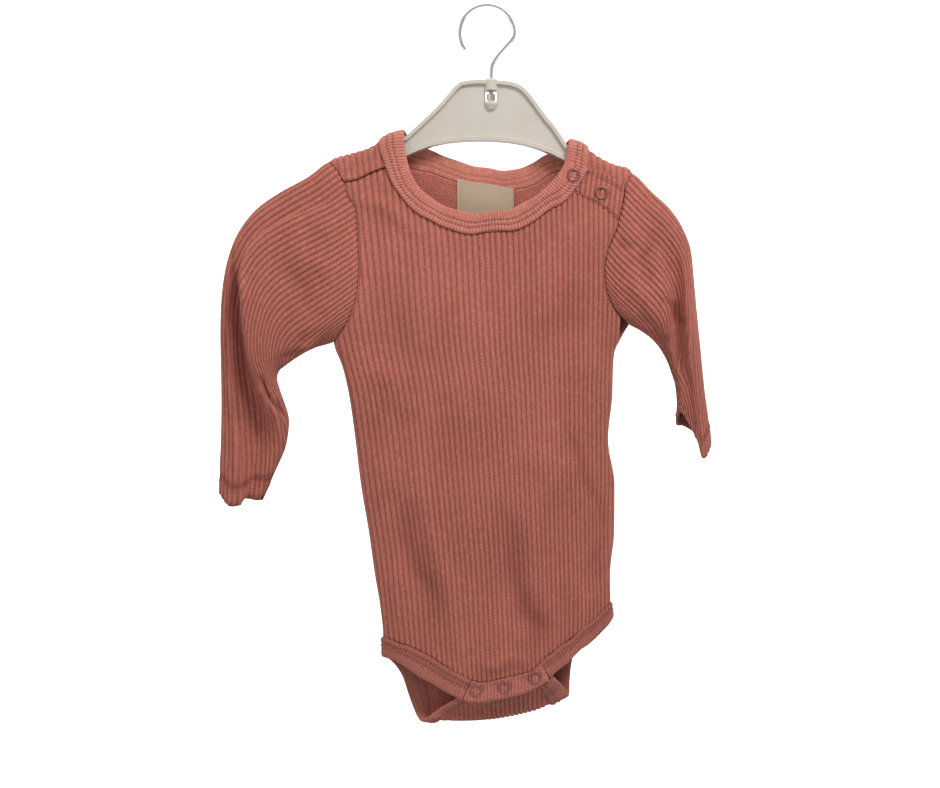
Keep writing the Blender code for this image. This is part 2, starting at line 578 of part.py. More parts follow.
def back_net():
    """The back panel: from its shoulder edges and neck down to the crotch tab's end."""
    top = np.vstack([seam_run(SHOULDER_SEAM, "front", SHOULDER_STEPS)[:-1],
                     neck_edge("outer", NECK_BACK)[:-1],
                     seam_run(LAP_EDGE, "front", PLACKET_STEPS)])
    sides = []
    for which, table in (("left", LEG_LEFT), ("right", LEG_RIGHT)):
        carried, _, back_run = armhole_runs(which)
        if which == "right":
            carried = cut_run(ARMHOLE_TOP_RIGHT, "front", CREST_CUTS * LAP_SHARE)
            carried[0, 1] = 0.0
        sides.append(np.vstack([carried[::-1][:-1], back_run[:-1], side_seam("back", which)[:-1],
                                leg_edge(table, "seam", BACK_ROWS, LEG_STEPS_BACK)]))
    left, right = sides
    top[-1] = right[0]
    bottom = np.linspace(left[-1], right[-1], len(top))
    return coons(top, bottom, left, right)


def neckband_net(columns=3):
    """The neckband between its inner and outer edges."""
    stations = np.concatenate([NECK_PLACKET[:-1], NECK_FRONT[::-1], NECK_BACK[1:]])
    inner, outer = neck_edge("inner", stations), neck_edge("outer", stations)
    v = np.linspace(0, 1, columns)[None, :, None]
    return inner[:, None] * (1 - v) + outer[:, None] * v, stations


def leg_band_points(table, front_steps):
    """The leg band's middle points and normals: its front run, then its back run."""
    runs = []
    for rows, steps in ((FRONT_ROWS, front_steps), (BACK_ROWS, LEG_STEPS_BACK)):
        seam, free = leg_edge(table, "seam", rows, steps), leg_edge(table, "free", rows, steps)
        net = np.stack([seam, (seam + free) / 2, free], 1)
        net[..., 0] = keep_inside(net[..., 0], net[..., 1])
        points, normals = draped(net)
        runs.append((points, normals))
    (front, front_normals), (back, back_normals) = runs
    points = np.vstack([front[:-1], (front[-1:] + back[:1]) / 2, back[1:]])
    normals = np.vstack([front_normals[:-1], front_normals[-1:], back_normals[1:]])
    return points, normals


def keep_inside(across, along):
    """Places held within the body's side folds."""
    drop = -place(across, along)[..., 2] - HANGER_TOP
    return np.clip(across, read_column(BODY, BODY_COLUMNS, "left", drop),
                   read_column(BODY, BODY_COLUMNS, "right", drop))


def sleeve_face(table, hem, along, face, count):
    """One face of a section of the sleeve, from its outer fold to its inner fold. The front's folds
    are a smooth profile through the flap, the valley and the ridge; the back is a plain round."""
    get = {name: float(read_column(table, SLEEVE_COLUMNS, name, along)) for name in SLEEVE_COLUMNS}
    u = (1 - np.cos(np.linspace(0, math.pi, count))) / 2
    if face == "front":
        flap_at, ridge_at = get["flap at"], get["ridge at"]
        flap, valley, ridge = get["flap"], get["valley"], get["ridge"]
        places = np.array([0.0, 0.1 * flap_at, 0.5 * flap_at, flap_at, flap_at + 0.05,
                           (flap_at + ridge_at) / 2, ridge_at - 0.05, ridge_at, (ridge_at + 1) / 2,
                           0.94, 0.99, 1.0])
        places = np.maximum.accumulate(places) + np.arange(len(places)) * 1e-3
        stands = np.array([0.0, 0.35 * flap, 0.85 * flap, flap, 0.5 * (flap + valley), valley,
                           0.2 * valley + 0.8 * ridge, ridge, 0.9 * ridge, 0.5 * ridge,
                           0.18 * ridge, 0.0])
        out = -read(u, places / places[-1], stands)
    else:
        out = get["back"] * np.sqrt(np.maximum(1 - np.abs(2 * u - 1) ** SIDE_POWER, 0.0))
    droop = ease((along - 0.6) / 0.4) * read_column(hem, HEM_COLUMNS, face + " droop", u)
    across = get["outer across"] * (1 - u) + get["inner across"] * u
    drop = get["outer drop"] * (1 - u) + get["inner drop"] * u + droop
    return np.stack([across, out, -HANGER_TOP - drop], 1)


ARMHOLE_FADE = 0.42       # how far down the sleeve the armhole's own shape is felt
SLEEVE_LIFT = 0.6
SLEEVE_GAP = 0.35         # between the sleeve and the panels' drawn-in edges
ARMPIT_GAP = 1.7          # more room where the walls meet at a corner
LAP_SHARE = 0.74          # share of the right armhole's front stretch that the lap reaches


def sleeve_points(table, hem, front_run, back_run, sections):
    """The sleeve's middle points, ring by ring. The first ring is the armhole seam, whose shape
    fades out down the sleeve."""
    runs = (("front", front_run), ("back", back_run))
    rings = []
    for along in sections:
        felt = 1 - ease(along / ARMHOLE_FADE)
        faces = []
        for face, run in runs:
            seam = place(run[:, 0], run[:, 1], SLEEVE_LIFT)
            own = sleeve_face(table, hem, 0.0, face, len(run))
            faces.append(sleeve_face(table, hem, along, face, len(run)) + (seam - own) * felt)
        rings.append(np.vstack([faces[0], faces[1][::-1][1:-1]]))
    return np.array(rings)


SECTIONS = (0.0, 0.05, 0.12, 0.21, 0.31, 0.41, 0.50, 0.58, 0.65, 0.72, 0.79, 0.86, 0.93, 1.0)


def add_sleeve(name, which, finish):
    """A sleeve, its armhole ring sharing the seam's points with the panels."""
    left = which == "left"
    table, hem = (SLEEVE_LEFT, HEM_LEFT) if left else (SLEEVE_RIGHT, HEM_RIGHT)
    carried, front, back = armhole_runs(which)
    front = np.vstack([carried[:-1], front])
    points = sleeve_points(table, hem, front, back, SECTIONS)
    armpit = len(front) - 1
    points[0, armpit, 1] = 0.0
    normals = net_normals(points, True)
    ring = np.vstack([front, back[::-1][1:-1]])
    seam = facing(ring[:, 0], ring[:, 1], SLEEVE_LIFT)
    seam[armpit] = normals[0, armpit]
    normals[0] = seam * np.sign((seam * normals[0]).sum(1, keepdims=True))
    away = np.abs(np.arange(len(ring)) - armpit)
    gap = SLEEVE_GAP + ARMPIT_GAP * np.exp(-(away / 1.8) ** 2)
    step = points[1] - points[0]
    points[0] += gap[:, None] * step / np.linalg.norm(step, axis=1, keepdims=True)
    return add_mesh(name, *shell(points, normals, CLOTH, True), finish)


def add_band(name, net, stations, finish):
    """The neckband, its front end lifted onto the placket."""
    on_top = ease((NECK_AT_SHOULDER - stations) / 4.0)[:, None]
    across, along = net[..., 0], net[..., 1]
    points, normals = place(across, along, on_top), facing(across, along, on_top)
    return add_mesh(name, *shell(drawn_in(points, False, SEAM_GAP), normals, BAND), finish)


def add_label(finish):
    """The label, hanging from the neckband inside the back."""
    top = np.linspace((-21.4, 71.6), (19.3, 78.4), 4)
    foot = top + np.array([0.0, 27.0])
    net = np.stack([layout(top * (1 - t) + foot * t, "back") for t in np.linspace(0, 1, 5)])
    points, normals = place(net[..., 0], net[..., 1]), facing(net[..., 0], net[..., 1])
    points = points - normals * (CLOTH / 2 + SEAM_GAP + TAPE_WALL / 2)
    return add_mesh("neck_label", *shell(points, normals, TAPE_WALL), finish)


RING_STEPS = 20
RING_SHOULDER = ((60.9, 69.2), (80.9, 81.6))
RING_CROTCH = ((-7.9, 431.6), (12.1, 429.4), (33.8, 422.6))


def add_ring(name, spot, base, lift, finish):
    """A snap's prong ring: a turned ring with a rounded top, square to the cloth under it."""
    across, along = spot[0], girth(spot[0], spot[1], "front")
    centre, normal = place(across, along, lift), facing(across, along, lift)
    side = np.cross(normal, (0.0, 0.0, 1.0))
    side /= np.linalg.norm(side)
    up = np.cross(side, normal)
    middle = (RING_OUTER + RING_INNER) / 2
    profile = ((RING_OUTER, 0.0), (RING_OUTER, 0.5 * RING_HEIGHT), (middle, RING_HEIGHT),
               (RING_INNER, 0.5 * RING_HEIGHT), (RING_INNER, 0.0))
    foot = base / 2 + SEAM_GAP
    vertices = []
    for k in range(RING_STEPS):
        turn = 2 * math.pi * k / RING_STEPS
        ray = side * math.cos(turn) + up * math.sin(turn)
        vertices += [centre + ray * r + normal * (foot + h) for r, h in profile]
    width = len(profile)
    faces = []
    for k in range(RING_STEPS):
        n = (k + 1) % RING_STEPS
        for i in range(width):
            j = (i + 1) % width
            faces.append((k * width + i, k * width + j, n * width + j, n * width + i))
    return add_mesh(name, vertices, faces, finish)


def arm_line(tip, count, inner):
    """The top of one hidden arm, just under the cloth's crest, from the neck to its tip."""
    across = np.linspace(inner, tip, count)
    return np.stack([across, crest(across) + ARM_UNDER_CREST], 1)


def hanger_outline():
    """The hanger's outline, clockwise from its left tip: left arm, crown, right arm and the arch.
    Each arm tapers a little towards its rounded tip."""
    left_top = arm_line(ARM_TIPS[0], 9, -66.0)[::-1]
    right_top = arm_line(ARM_TIPS[1], 7, 66.0)
    left_foot = left_top + np.array([0.0, 1.0]) * np.linspace(0.62, 0.98, 9)[:, None] * ARM_DEPTH
    right_foot = right_top + np.array([0.0, 1.0]) * np.linspace(0.98, 0.62, 7)[:, None] * ARM_DEPTH
    left_tip = [(ARM_TIPS[0] - 1.6, left_top[0, 1] + 5.0)]
    right_tip = [(ARM_TIPS[1] + 1.6, right_top[-1, 1] + 5.0)]
    return np.vstack([left_top, through(CROWN, 26), right_top, right_tip, right_foot[::-1],
                      through(ARCH, 12), left_foot[::-1], left_tip])


def add_hanger(finish):
    """The hanger: its outline pulled to a plate, with a raised rim round a sunk web on both faces."""
    outline = hanger_outline()
    work = bmesh.new()
    ring = [work.verts.new((x * MM, -PLATE_HALF * MM, (-HANGER_TOP - d) * MM)) for x, d in outline]
    face = work.faces.new(ring)
    spun = bmesh.ops.extrude_face_region(work, geom=[face])
    moved = [v for v in spun["geom"] if isinstance(v, bmesh.types.BMVert)]
    bmesh.ops.translate(work, verts=moved, vec=(0, 2 * PLATE_HALF * MM, 0))
    bmesh.ops.recalc_face_normals(work, faces=work.faces)
    caps = [f for f in work.faces if len(f.verts) > 8]
    for cap in caps:
        outward = cap.normal.y
        bmesh.ops.inset_region(work, faces=[cap], thickness=RIM * MM, use_even_offset=True)
        bmesh.ops.inset_region(work, faces=[cap], thickness=RIM_BEVEL * MM, use_even_offset=True)
        sunk = (WEB_HALF - PLATE_HALF) * MM * outward
        bmesh.ops.translate(work, verts=list(cap.verts), vec=(0, sunk, 0))
    bmesh.ops.triangulate(work, faces=work.faces)
    mesh = bpy.data.meshes.new("hanger_body")
    work.to_mesh(mesh)
    work.free()
    made = add_object("hanger_body", mesh, finish)
    socket = add_socket_solid(finish)
    join = made.modifiers.new("socket", "BOOLEAN")
    join.operation = "UNION"
    join.object = socket
    bore = add_bore()
    cut = made.modifiers.new("bore", "BOOLEAN")
    cut.operation = "DIFFERENCE"
    cut.object = bore
    return made


def add_helper(name, mesh, finish=None):
    """A cutter or joiner, left out of the build."""
    made = bpy.data.objects.new(name, mesh)
    made.hide_render = True
    made.display_type = "WIRE"
    if finish:
        mesh.materials.append(finish)
    bpy.context.scene.collection.objects.link(made)
    return made


def turned(profile, steps=24):
    """A closed solid turned about the socket's axis from (radius, drop) pairs, first and last on
    the axis."""
    vertices = []
    faces = []
    rings = []
    for radius, drop in profile:
        if radius == 0:
            rings.append([len(vertices)])
            vertices.append((SOCKET_AT, 0.0, -HANGER_TOP - drop))
            continue
        rings.append(list(range(len(vertices), len(vertices) + steps)))
        vertices += [(SOCKET_AT + radius * math.cos(2 * math.pi * k / steps),
                      radius * math.sin(2 * math.pi * k / steps), -HANGER_TOP - drop)
                     for k in range(steps)]
    for upper, lower in zip(rings, rings[1:]):
        for k in range(steps):
            n = (k + 1) % steps
            a, b = upper[k % len(upper)], upper[n % len(upper)]
            c, d = lower[n % len(lower)], lower[k % len(lower)]
            corners = [a, b, c, d]
            faces.append([v for i, v in enumerate(corners) if v != corners[i - 1]])
    return vertices, faces


def helper_mesh(name, vertices, faces):
    """A helper's mesh from millimetres, closed and turned outwards."""
    mesh = bpy.data.meshes.new(name)
    mesh.from_pydata((np.asarray(vertices, float) * MM).tolist(), [], faces)
    work = bmesh.new()
    work.from_mesh(mesh)
    bmesh.ops.recalc_face_normals(work, faces=work.faces)
    work.to_mesh(mesh)
    work.free()
    return mesh


BORE_RADIUS = WIRE + SEAM_GAP
SWAGE_RADIUS = 2.9
SWAGE_TOP = 9.0
SWAGE_FOOT = 14.6
WINDOW_TOP = 7.2
WINDOW_FOOT = 15.8
WINDOW_HALF = 3.9


def add_socket_solid(finish):
    """The socket's round boss, from just above the plate's top edge to its rounded foot."""
    vertices, faces = turned(((0, -1.0), (SOCKET_RADIUS - 1.2, -1.0), (SOCKET_RADIUS, 0.4),
                              (SOCKET_RADIUS, 17.6), (SOCKET_RADIUS - 1.4, 20.6),
                              (SOCKET_RADIUS - 3.4, 22.2), (0, SOCKET_FOOT)))
    return add_helper("socket_helper", helper_mesh("socket_helper", vertices, faces), finish)


def add_bore():
    """The wire's bore down to the window, and the window through the boss."""
    vertices, faces = turned(((0, -4.0), (BORE_RADIUS, -4.0), (BORE_RADIUS, WINDOW_TOP + 1.0),
                              (0, WINDOW_TOP + 1.0)), 16)
    bore = add_helper("bore_helper", helper_mesh("bore_helper", vertices, faces))
    work = bmesh.new()
    bmesh.ops.create_cube(work, size=1.0)
    height = WINDOW_FOOT - WINDOW_TOP
    for v in work.verts:
        v.co.x = (SOCKET_AT + v.co.x * 2 * WINDOW_HALF) * MM
        v.co.y = v.co.y * 4 * SOCKET_RADIUS * MM
        v.co.z = (-HANGER_TOP - WINDOW_TOP - height / 2 + v.co.z * height) * MM
    mesh = bpy.data.meshes.new("window_helper")
    work.to_mesh(mesh)
    work.free()
    window = add_helper("window_helper", mesh)
    join = bore.modifiers.new("window", "BOOLEAN")
    join.operation = "UNION"
    join.object = window
    return bore


def add_hook(finish):
    """The wire hook: a bend a little over half a turn, a swan neck to the socket's axis, and a
    swaged end held in the socket's window."""
    radius = BEND_RADIUS + WIRE
    sweep = np.radians(np.linspace(HOOK_OPENS_AT, HOOK_CLOSES_AT, HOOK_STEPS))
    arc = np.stack([radius * np.sin(sweep), -radius + radius * np.cos(sweep) + WIRE], 1)
    foot = -HANGER_TOP - WINDOW_TOP - 1.2
    neck = [arc[-1], *SWAN_NECK, (SOCKET_AT, foot)]
    line = np.vstack([arc[:-1], through(neck, NECK_STEPS)])
    tangent = np.gradient(line, axis=0)
    tangent /= np.linalg.norm(tangent, axis=1, keepdims=True)
    sides = HOOK_SIDES
    vertices, faces = [], []
    turns = [2 * math.pi * k / sides for k in range(sides)]
    stations = [(line[i], tangent[i], WIRE) for i in range(len(line))]
    down = np.array([0.0, -1.0])
    for drop, r in ((SWAGE_TOP, WIRE), (SWAGE_TOP + 0.8, SWAGE_RADIUS), (SWAGE_FOOT - 0.8, SWAGE_RADIUS),
                    (SWAGE_FOOT, SWAGE_RADIUS - 0.9)):
        stations.append((np.array([SOCKET_AT, -HANGER_TOP - drop]), down, r))
    for point, along, r in stations:
        ray = np.array([-along[1], along[0]])
        vertices += [(point[0] + ray[0] * r * math.cos(t), r * math.sin(t),
                      point[1] + ray[1] * r * math.cos(t)) for t in turns]
    for i in range(len(stations) - 1):
        for k in range(sides):
            n = (k + 1) % sides
            faces.append((i * sides + k, i * sides + n, (i + 1) * sides + n, (i + 1) * sides + k))
    faces.append(tuple(range(sides)))
    faces.append(tuple(range(len(vertices) - 1, len(vertices) - sides - 1, -1)))
    return add_mesh("hanger_hook", vertices, faces, finish)


def main():
    for old in list(bpy.data.objects):
        bpy.data.objects.remove(old, do_unlink=True)
    rib = {name: material("rib knit " + name, (0.42, 0.16, 0.13), 0.9)
           for name in ("front", "back", "sleeve left", "sleeve right", "neckband", "placket",
                        "leg left", "leg right", "strip")}
    enamel = material("ring enamel", (0.33, 0.10, 0.09), 0.45)
    tape = material("woven label", (0.52, 0.42, 0.30), 0.7)
    plastic = material("moulded plastic", (0.78, 0.75, 0.70), 0.35)
    chrome = material("plated wire", (0.75, 0.75, 0.74), 0.2, 1.0)

    points, normals = draped(front_net(), 1.0)
    add_cloth("front", points, rib["front"], normals=normals)
    points, normals = draped(back_net())
    add_cloth("back", points, rib["back"], normals=normals)
    add_sleeve("sleeve_left", "left", rib["sleeve left"])
    add_sleeve("sleeve_right", "right", rib["sleeve right"])
    net, stations = neckband_net()
    add_band("neckband", net, stations, rib["neckband"])

    placket_left = neck_edge("outer", NECK_PLACKET)
    top = seam_run(PLACKET_TOP, "front", PLACKET_STEPS)
    top[0] = placket_left[0]
    foot = seam_run(PLACKET_SEAM, "front", PLACKET_STEPS)
    placket_right = seam_run(PLACKET_END, "front", len(NECK_PLACKET) - 1)
    points, normals = draped(coons(top, foot, placket_left, placket_right), 1.0)
    add_cloth("shoulder_placket", points, rib["placket"], normals=normals)

    for name, table, steps in (("leg_band_left", LEG_LEFT, LEG_STEPS_LEFT),
                               ("leg_band_right", LEG_RIGHT, LEG_STEPS_RIGHT)):
        points, normals = leg_band_points(table, steps)
        add_cloth(name, points, rib["leg " + name[9:]], BAND, normals)
    upper = layout([row[:2] for row in STRIP], "front")
    lower = layout([row[2:] for row in STRIP], "front")
    points, normals = draped(np.stack([upper, (upper + lower) / 2, lower]))
    add_cloth("crotch_strip", points, rib["strip"], BAND, normals)
    add_label(tape)
    for k, spot in enumerate(RING_SHOULDER):
        add_ring(f"snap_shoulder_{k + 1}", spot, BAND if k == 0 else CLOTH, 1.0, enamel)
    for k, spot in enumerate(RING_CROTCH):
        add_ring(f"snap_crotch_{k + 1}", spot, BAND, 0.0, enamel)
    add_hanger(plastic)
    add_hook(chrome)


main()
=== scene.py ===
"""A baby's long-sleeved rib-knit bodysuit on a moulded child's hanger, as a visual model.

The cloth is laid out flat by "across" and "along" and draped over the shoulder crest by one
function. Sizes inside the functions are in millimetres; meshes are made in metres. "Drop" is the
distance below the hanger's top edge.
"""

import math
import bpy
import numpy as np
from bpy.props import FloatProperty, FloatVectorProperty, IntProperty, PointerProperty
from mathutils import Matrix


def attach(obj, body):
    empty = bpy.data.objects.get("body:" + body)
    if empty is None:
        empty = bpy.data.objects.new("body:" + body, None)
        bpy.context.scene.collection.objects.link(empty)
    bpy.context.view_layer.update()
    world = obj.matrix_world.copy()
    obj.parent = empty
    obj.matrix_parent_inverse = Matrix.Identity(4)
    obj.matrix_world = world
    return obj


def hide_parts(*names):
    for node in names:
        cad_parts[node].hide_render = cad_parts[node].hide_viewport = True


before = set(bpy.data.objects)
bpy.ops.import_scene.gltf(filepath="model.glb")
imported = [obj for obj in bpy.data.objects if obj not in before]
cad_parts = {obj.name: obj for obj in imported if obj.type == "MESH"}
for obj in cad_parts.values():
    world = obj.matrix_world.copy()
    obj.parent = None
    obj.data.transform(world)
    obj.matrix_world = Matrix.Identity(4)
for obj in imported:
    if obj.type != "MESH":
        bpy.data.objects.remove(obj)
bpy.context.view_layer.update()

bl_info = {
    "name": "Rib-knit bodysuit on a hanger",
    "version": (1, 0, 0),
    "blender": (4, 5, 0),
    "location": "View3D > Sidebar > Bodysuit",
    "description": "Builds a ribbed baby bodysuit, its bands, snaps and stitching",
    "category": "Object",
}

MM = 0.001
HANGER_TOP = 52.0  # the hanger's top edge, below the origin
CREST_RADIUS = 6.6  # the fold over the shoulders
FOLD_RADIUS = 5.6  # the fold under the crotch
LAP = 2.4  # how far the front stands out over the placket's lap
TUCK = 2.2  # how far the crotch tab lies behind the front
SIDE_POWER = 2.6  # the larger, the squarer the side folds
SLEEVE_LIFT = 0.6  # how much of the lap the sleeves' armhole edge takes
ARMHOLE_FADE = 0.42  # share of a sleeve's length over which the armhole's shape dies away
ARMPIT_TUCK = 1.8  # how far a sleeve's first ring reaches inwards at the armpit
HEM_LINE = 12.6  # the hem's edge, above the cuff
HEM_STITCHES = (12.2, 9.4)  # the hem's two rows of stitches, above the cuff
BAND_WIDTH = 14.6
BAND_STITCHES = (0.46, 0.70)  # shares of a band's width, from its free edge
STITCH_GAP = 0.75
LINING_RIB = 0.21  # the rib mark of every inside, which shows no painted groove shade and little painted crown highlight
GARMENT_MIDDLE = (0.0, 0.0, -0.28)  # metres

CREST_COLUMNS = ("across", "drop")
CREST = (
    (-150.0, 84.0), (-134.0, 72.0), (-118.8, 62.5), (-113.6, 57.6), (-107.0, 54.4), (-97.9, 51.9),
    (-86.4, 48.6), (-76.4, 43.4), (-69.6, 39.0), (-58.6, 35.6), (-36.0, 20.0), (0.0, 8.0),
    (38.0, 22.0), (58.2, 42.4), (66.4, 44.8), (72.0, 48.6), (80.7, 54.6), (91.4, 59.6),
    (100.7, 62.0), (105.0, 66.4), (118.0, 80.0), (140.0, 98.0),
)
BODY_COLUMNS = ("drop", "left", "right", "front", "back")
BODY = (
    (0.0, -190.0, 185.0, 6.6, 6.6),
    (60.0, -186.0, 178.0, 6.8, 6.8),
    (100.0, -180.0, 166.0, 9.5, 8.5),
    (140.0, -163.0, 140.0, 12.6, 10.5),
    (160.0, -140.0, 116.0, 13.8, 11.6),
    (174.3, -120.0, 101.4, 14.4, 12.2),
    (187.1, -109.5, 94.0, 14.8, 12.6),
    (192.5, -108.0, 91.4, 15.0, 12.8),
    (203.0, -103.6, 90.2, 15.2, 13.0),
    (224.0, -98.6, 89.6, 15.4, 13.0),
    (256.0, -94.0, 86.6, 15.2, 12.6),
    (288.6, -90.0, 91.2, 14.6, 12.2),
    (320.7, -84.6, 91.0, 14.0, 12.0),
    (352.9, -80.0, 88.0, 13.4, 12.0),
    (374.3, -76.4, 88.4, 13.2, 11.6),
    (397.0, -74.2, 89.6, 13.2, 10.4),
    (412.0, -74.2, 89.6, 13.0, 9.4),
    (445.0, -74.0, 88.0, 12.6, 7.6),
    (470.0, -74.0, 88.0, 12.6, 7.2),
)
UNDER_COLUMNS = ("across", "drop")
UNDER = (
    (-60.0, 455.5), (-47.0, 456.8), (-33.6, 457.8), (-14.3, 458.2), (5.0, 457.0), (24.3, 453.6),
    (37.0, 450.0), (44.3, 446.6), (50.7, 443.2), (57.0, 439.4), (66.0, 433.0),
)
NECK_COLUMNS = ("inner across", "inner drop", "outer across", "outer drop", "side")
NECK = (
    (55.4, 58.6, 72.1, 64.6, "front"),
    (52.1, 65.4, 66.8, 73.0, "front"),
    (46.4, 72.6, 60.7, 81.1, "front"),
    (38.6, 80.0, 50.2, 90.6, "front"),
    (26.4, 87.9, 34.3, 101.0, "front"),
    (12.1, 94.0, 15.0, 108.6, "front"),
    (-5.4, 95.9, -7.9, 110.7, "front"),
    (-22.9, 92.9, -29.3, 106.3, "front"),
    (-35.4, 87.6, -45.0, 98.6, "front"),
    (-46.2, 79.0, -59.3, 86.0, "front"),
    (-53.4, 67.9, -68.8, 71.6, "front"),
    (-57.2, 55.0, -74.0, 57.0, "front"),
    (-58.8, 44.3, -76.6, 49.0, "front"),
    (-58.6, 35.6, -76.8, 43.6, "crest"),
    (-54.6, 40.8, -71.0, 51.0, "back"),
    (-47.0, 45.4, -60.4, 58.4, "back"),
    (-36.7, 49.6, -46.0, 63.4, "back"),
    (-23.1, 55.0, -28.0, 69.2, "back"),
    (-5.4, 60.2, -8.0, 74.6, "back"),
    (8.6, 62.4, 9.0, 77.0, "back"),
    (20.7, 61.8, 23.6, 76.0, "back"),
    (31.0, 58.2, 37.0, 71.4, "back"),
    (42.1, 51.6, 51.0, 63.6, "back"),
    (51.6, 46.0, 63.4, 55.2, "back"),
    (58.2, 42.4, 72.0, 48.6, "crest"),
    (57.0, 50.6, 71.9, 56.6, "front"),
    (54.6, 60.0, 69.8, 68.0, "front"),
)
# Rows of the neck's table, counted from 0, at the left shoulder seam, the placket and its end
NECK_AT_SHOULDER = 10.6
NECK_AT_PLACKET = 2.0
NECK_END = 26.0
SHOULDER_SEAM = ((-101.4, 72.9), (-92.0, 71.2), (-82.0, 66.4), (-72.2, 62.8))
PLACKET_SEAM = ((60.7, 81.1), (69.3, 85.2), (79.3, 90.2), (86.4, 95.4), (92.6, 101.0))
PLACKET_TOP = ((72.1, 64.6), (80.7, 66.4), (89.3, 71.0), (97.0, 76.2))
PLACKET_END = ((97.0, 76.2), (95.9, 86.0), (92.6, 101.0))
LAP_EDGE = ((70.4, 68.0), (71.6, 77.0), (79.3, 84.4), (88.0, 90.0), (94.6, 93.6))
LAP_SHARE = 0.74
ARMHOLE_TOP_LEFT = ((-113.6, 57.6), (-107.6, 63.4), (-101.4, 72.9))
ARMHOLE_TOP_RIGHT = ((104.6, 66.0), (98.6, 75.0), (96.6, 86.0), (92.6, 101.0))
ARMHOLE_FRONT_LEFT = ((-101.4, 72.9), (-98.4, 84.0), (-93.2, 93.0), (-91.4, 114.3), (-90.6, 135.0),
                      (-92.9, 156.4), (-98.6, 172.0), (-104.4, 180.6), (-109.5, 187.1))
ARMHOLE_FRONT_RIGHT = ((92.6, 101.0), (91.6, 106.6), (85.4, 121.4), (82.8, 136.4), (85.0, 152.9),
                       (91.8, 165.7), (101.4, 174.3))
ARMHOLE_BACK_LEFT = ((-113.6, 57.6), (-109.4, 74.0), (-103.4, 100.0), (-100.4, 130.0),
                     (-101.6, 158.0), (-105.4, 176.0), (-109.5, 187.1))
ARMHOLE_BACK_RIGHT = ((104.6, 66.0), (100.0, 84.0), (95.0, 106.0), (92.6, 130.0),
                      (94.6, 152.0), (97.8, 166.0), (101.4, 174.3))
ARMHOLES = {"left": (ARMHOLE_TOP_LEFT, ARMHOLE_FRONT_LEFT, ARMHOLE_BACK_LEFT),
            "right": (ARMHOLE_TOP_RIGHT, ARMHOLE_FRONT_RIGHT, ARMHOLE_BACK_RIGHT)}
# Drops at which each side seam starts and ends
SIDE_SEAMS = {"left": (187.1, 397.0), "right": (174.3, 372.0)}
LEG_COLUMNS = ("seam across", "seam drop", "free across", "free drop", "side")
LEG_LEFT = (
    (-11.4, 425.0, -17.9, 439.3, "front"),
    (-24.3, 418.4, -31.4, 432.4, "front"),
    (-35.7, 411.4, -45.0, 424.8, "front"),
    (-46.0, 405.7, -55.6, 418.2, "front"),
    (-55.6, 401.8, -63.6, 413.4, "front"),
    (-65.0, 399.0, -69.6, 411.6, "front"),
    (-74.2, 397.0, -74.2, 411.0, "side"),
    (-68.0, 398.6, -70.4, 413.4, "back"),
    (-58.4, 403.6, -65.4, 418.6, "back"),
    (-50.6, 411.4, -60.6, 426.4, "back"),
    (-45.6, 423.6, -57.0, 437.0, "back"),
    (-42.0, 438.0, -53.2, 448.0, "back"),
    (-37.6, 457.6, -47.6, 456.8, "under"),
    (-27.0, 451.0, -37.4, 449.4, "tab"),
    (-16.6, 443.0, -27.4, 442.0, "tab"),
    (-6.0, 434.0, -16.6, 434.6, "tab"),
    (-1.6, 430.0, -12.4, 431.2, "tab"),
)
LEG_RIGHT = (
    (37.0, 413.6, 44.3, 423.6, "front"),
    (44.0, 407.4, 50.9, 417.6, "front"),
    (53.0, 400.0, 59.4, 410.6, "front"),
    (64.4, 391.4, 70.4, 401.4, "front"),
    (75.0, 383.4, 80.6, 392.8, "front"),
    (83.6, 375.6, 87.2, 386.0, "front"),
    (88.3, 372.0, 89.0, 382.4, "side"),
    (82.6, 374.4, 84.4, 387.6, "back"),
    (73.0, 380.0, 77.0, 393.4, "back"),
    (62.0, 388.6, 69.4, 400.4, "back"),
    (53.4, 399.4, 63.0, 409.4, "back"),
    (49.0, 413.6, 60.6, 420.0, "back"),
    (45.6, 445.8, 58.6, 438.6, "under"),
    (41.6, 437.0, 53.4, 430.4, "tab"),
    (37.6, 430.4, 48.4, 424.6, "tab"),
    (34.6, 426.0, 44.6, 420.4, "tab"),
    (32.6, 422.0, 42.4, 416.8, "tab"),
)
# The rows of a leg band's table from the strip to the side, and from the side to the tab's end
FRONT_ROWS = slice(0, 7)
BACK_ROWS = slice(6, 17)
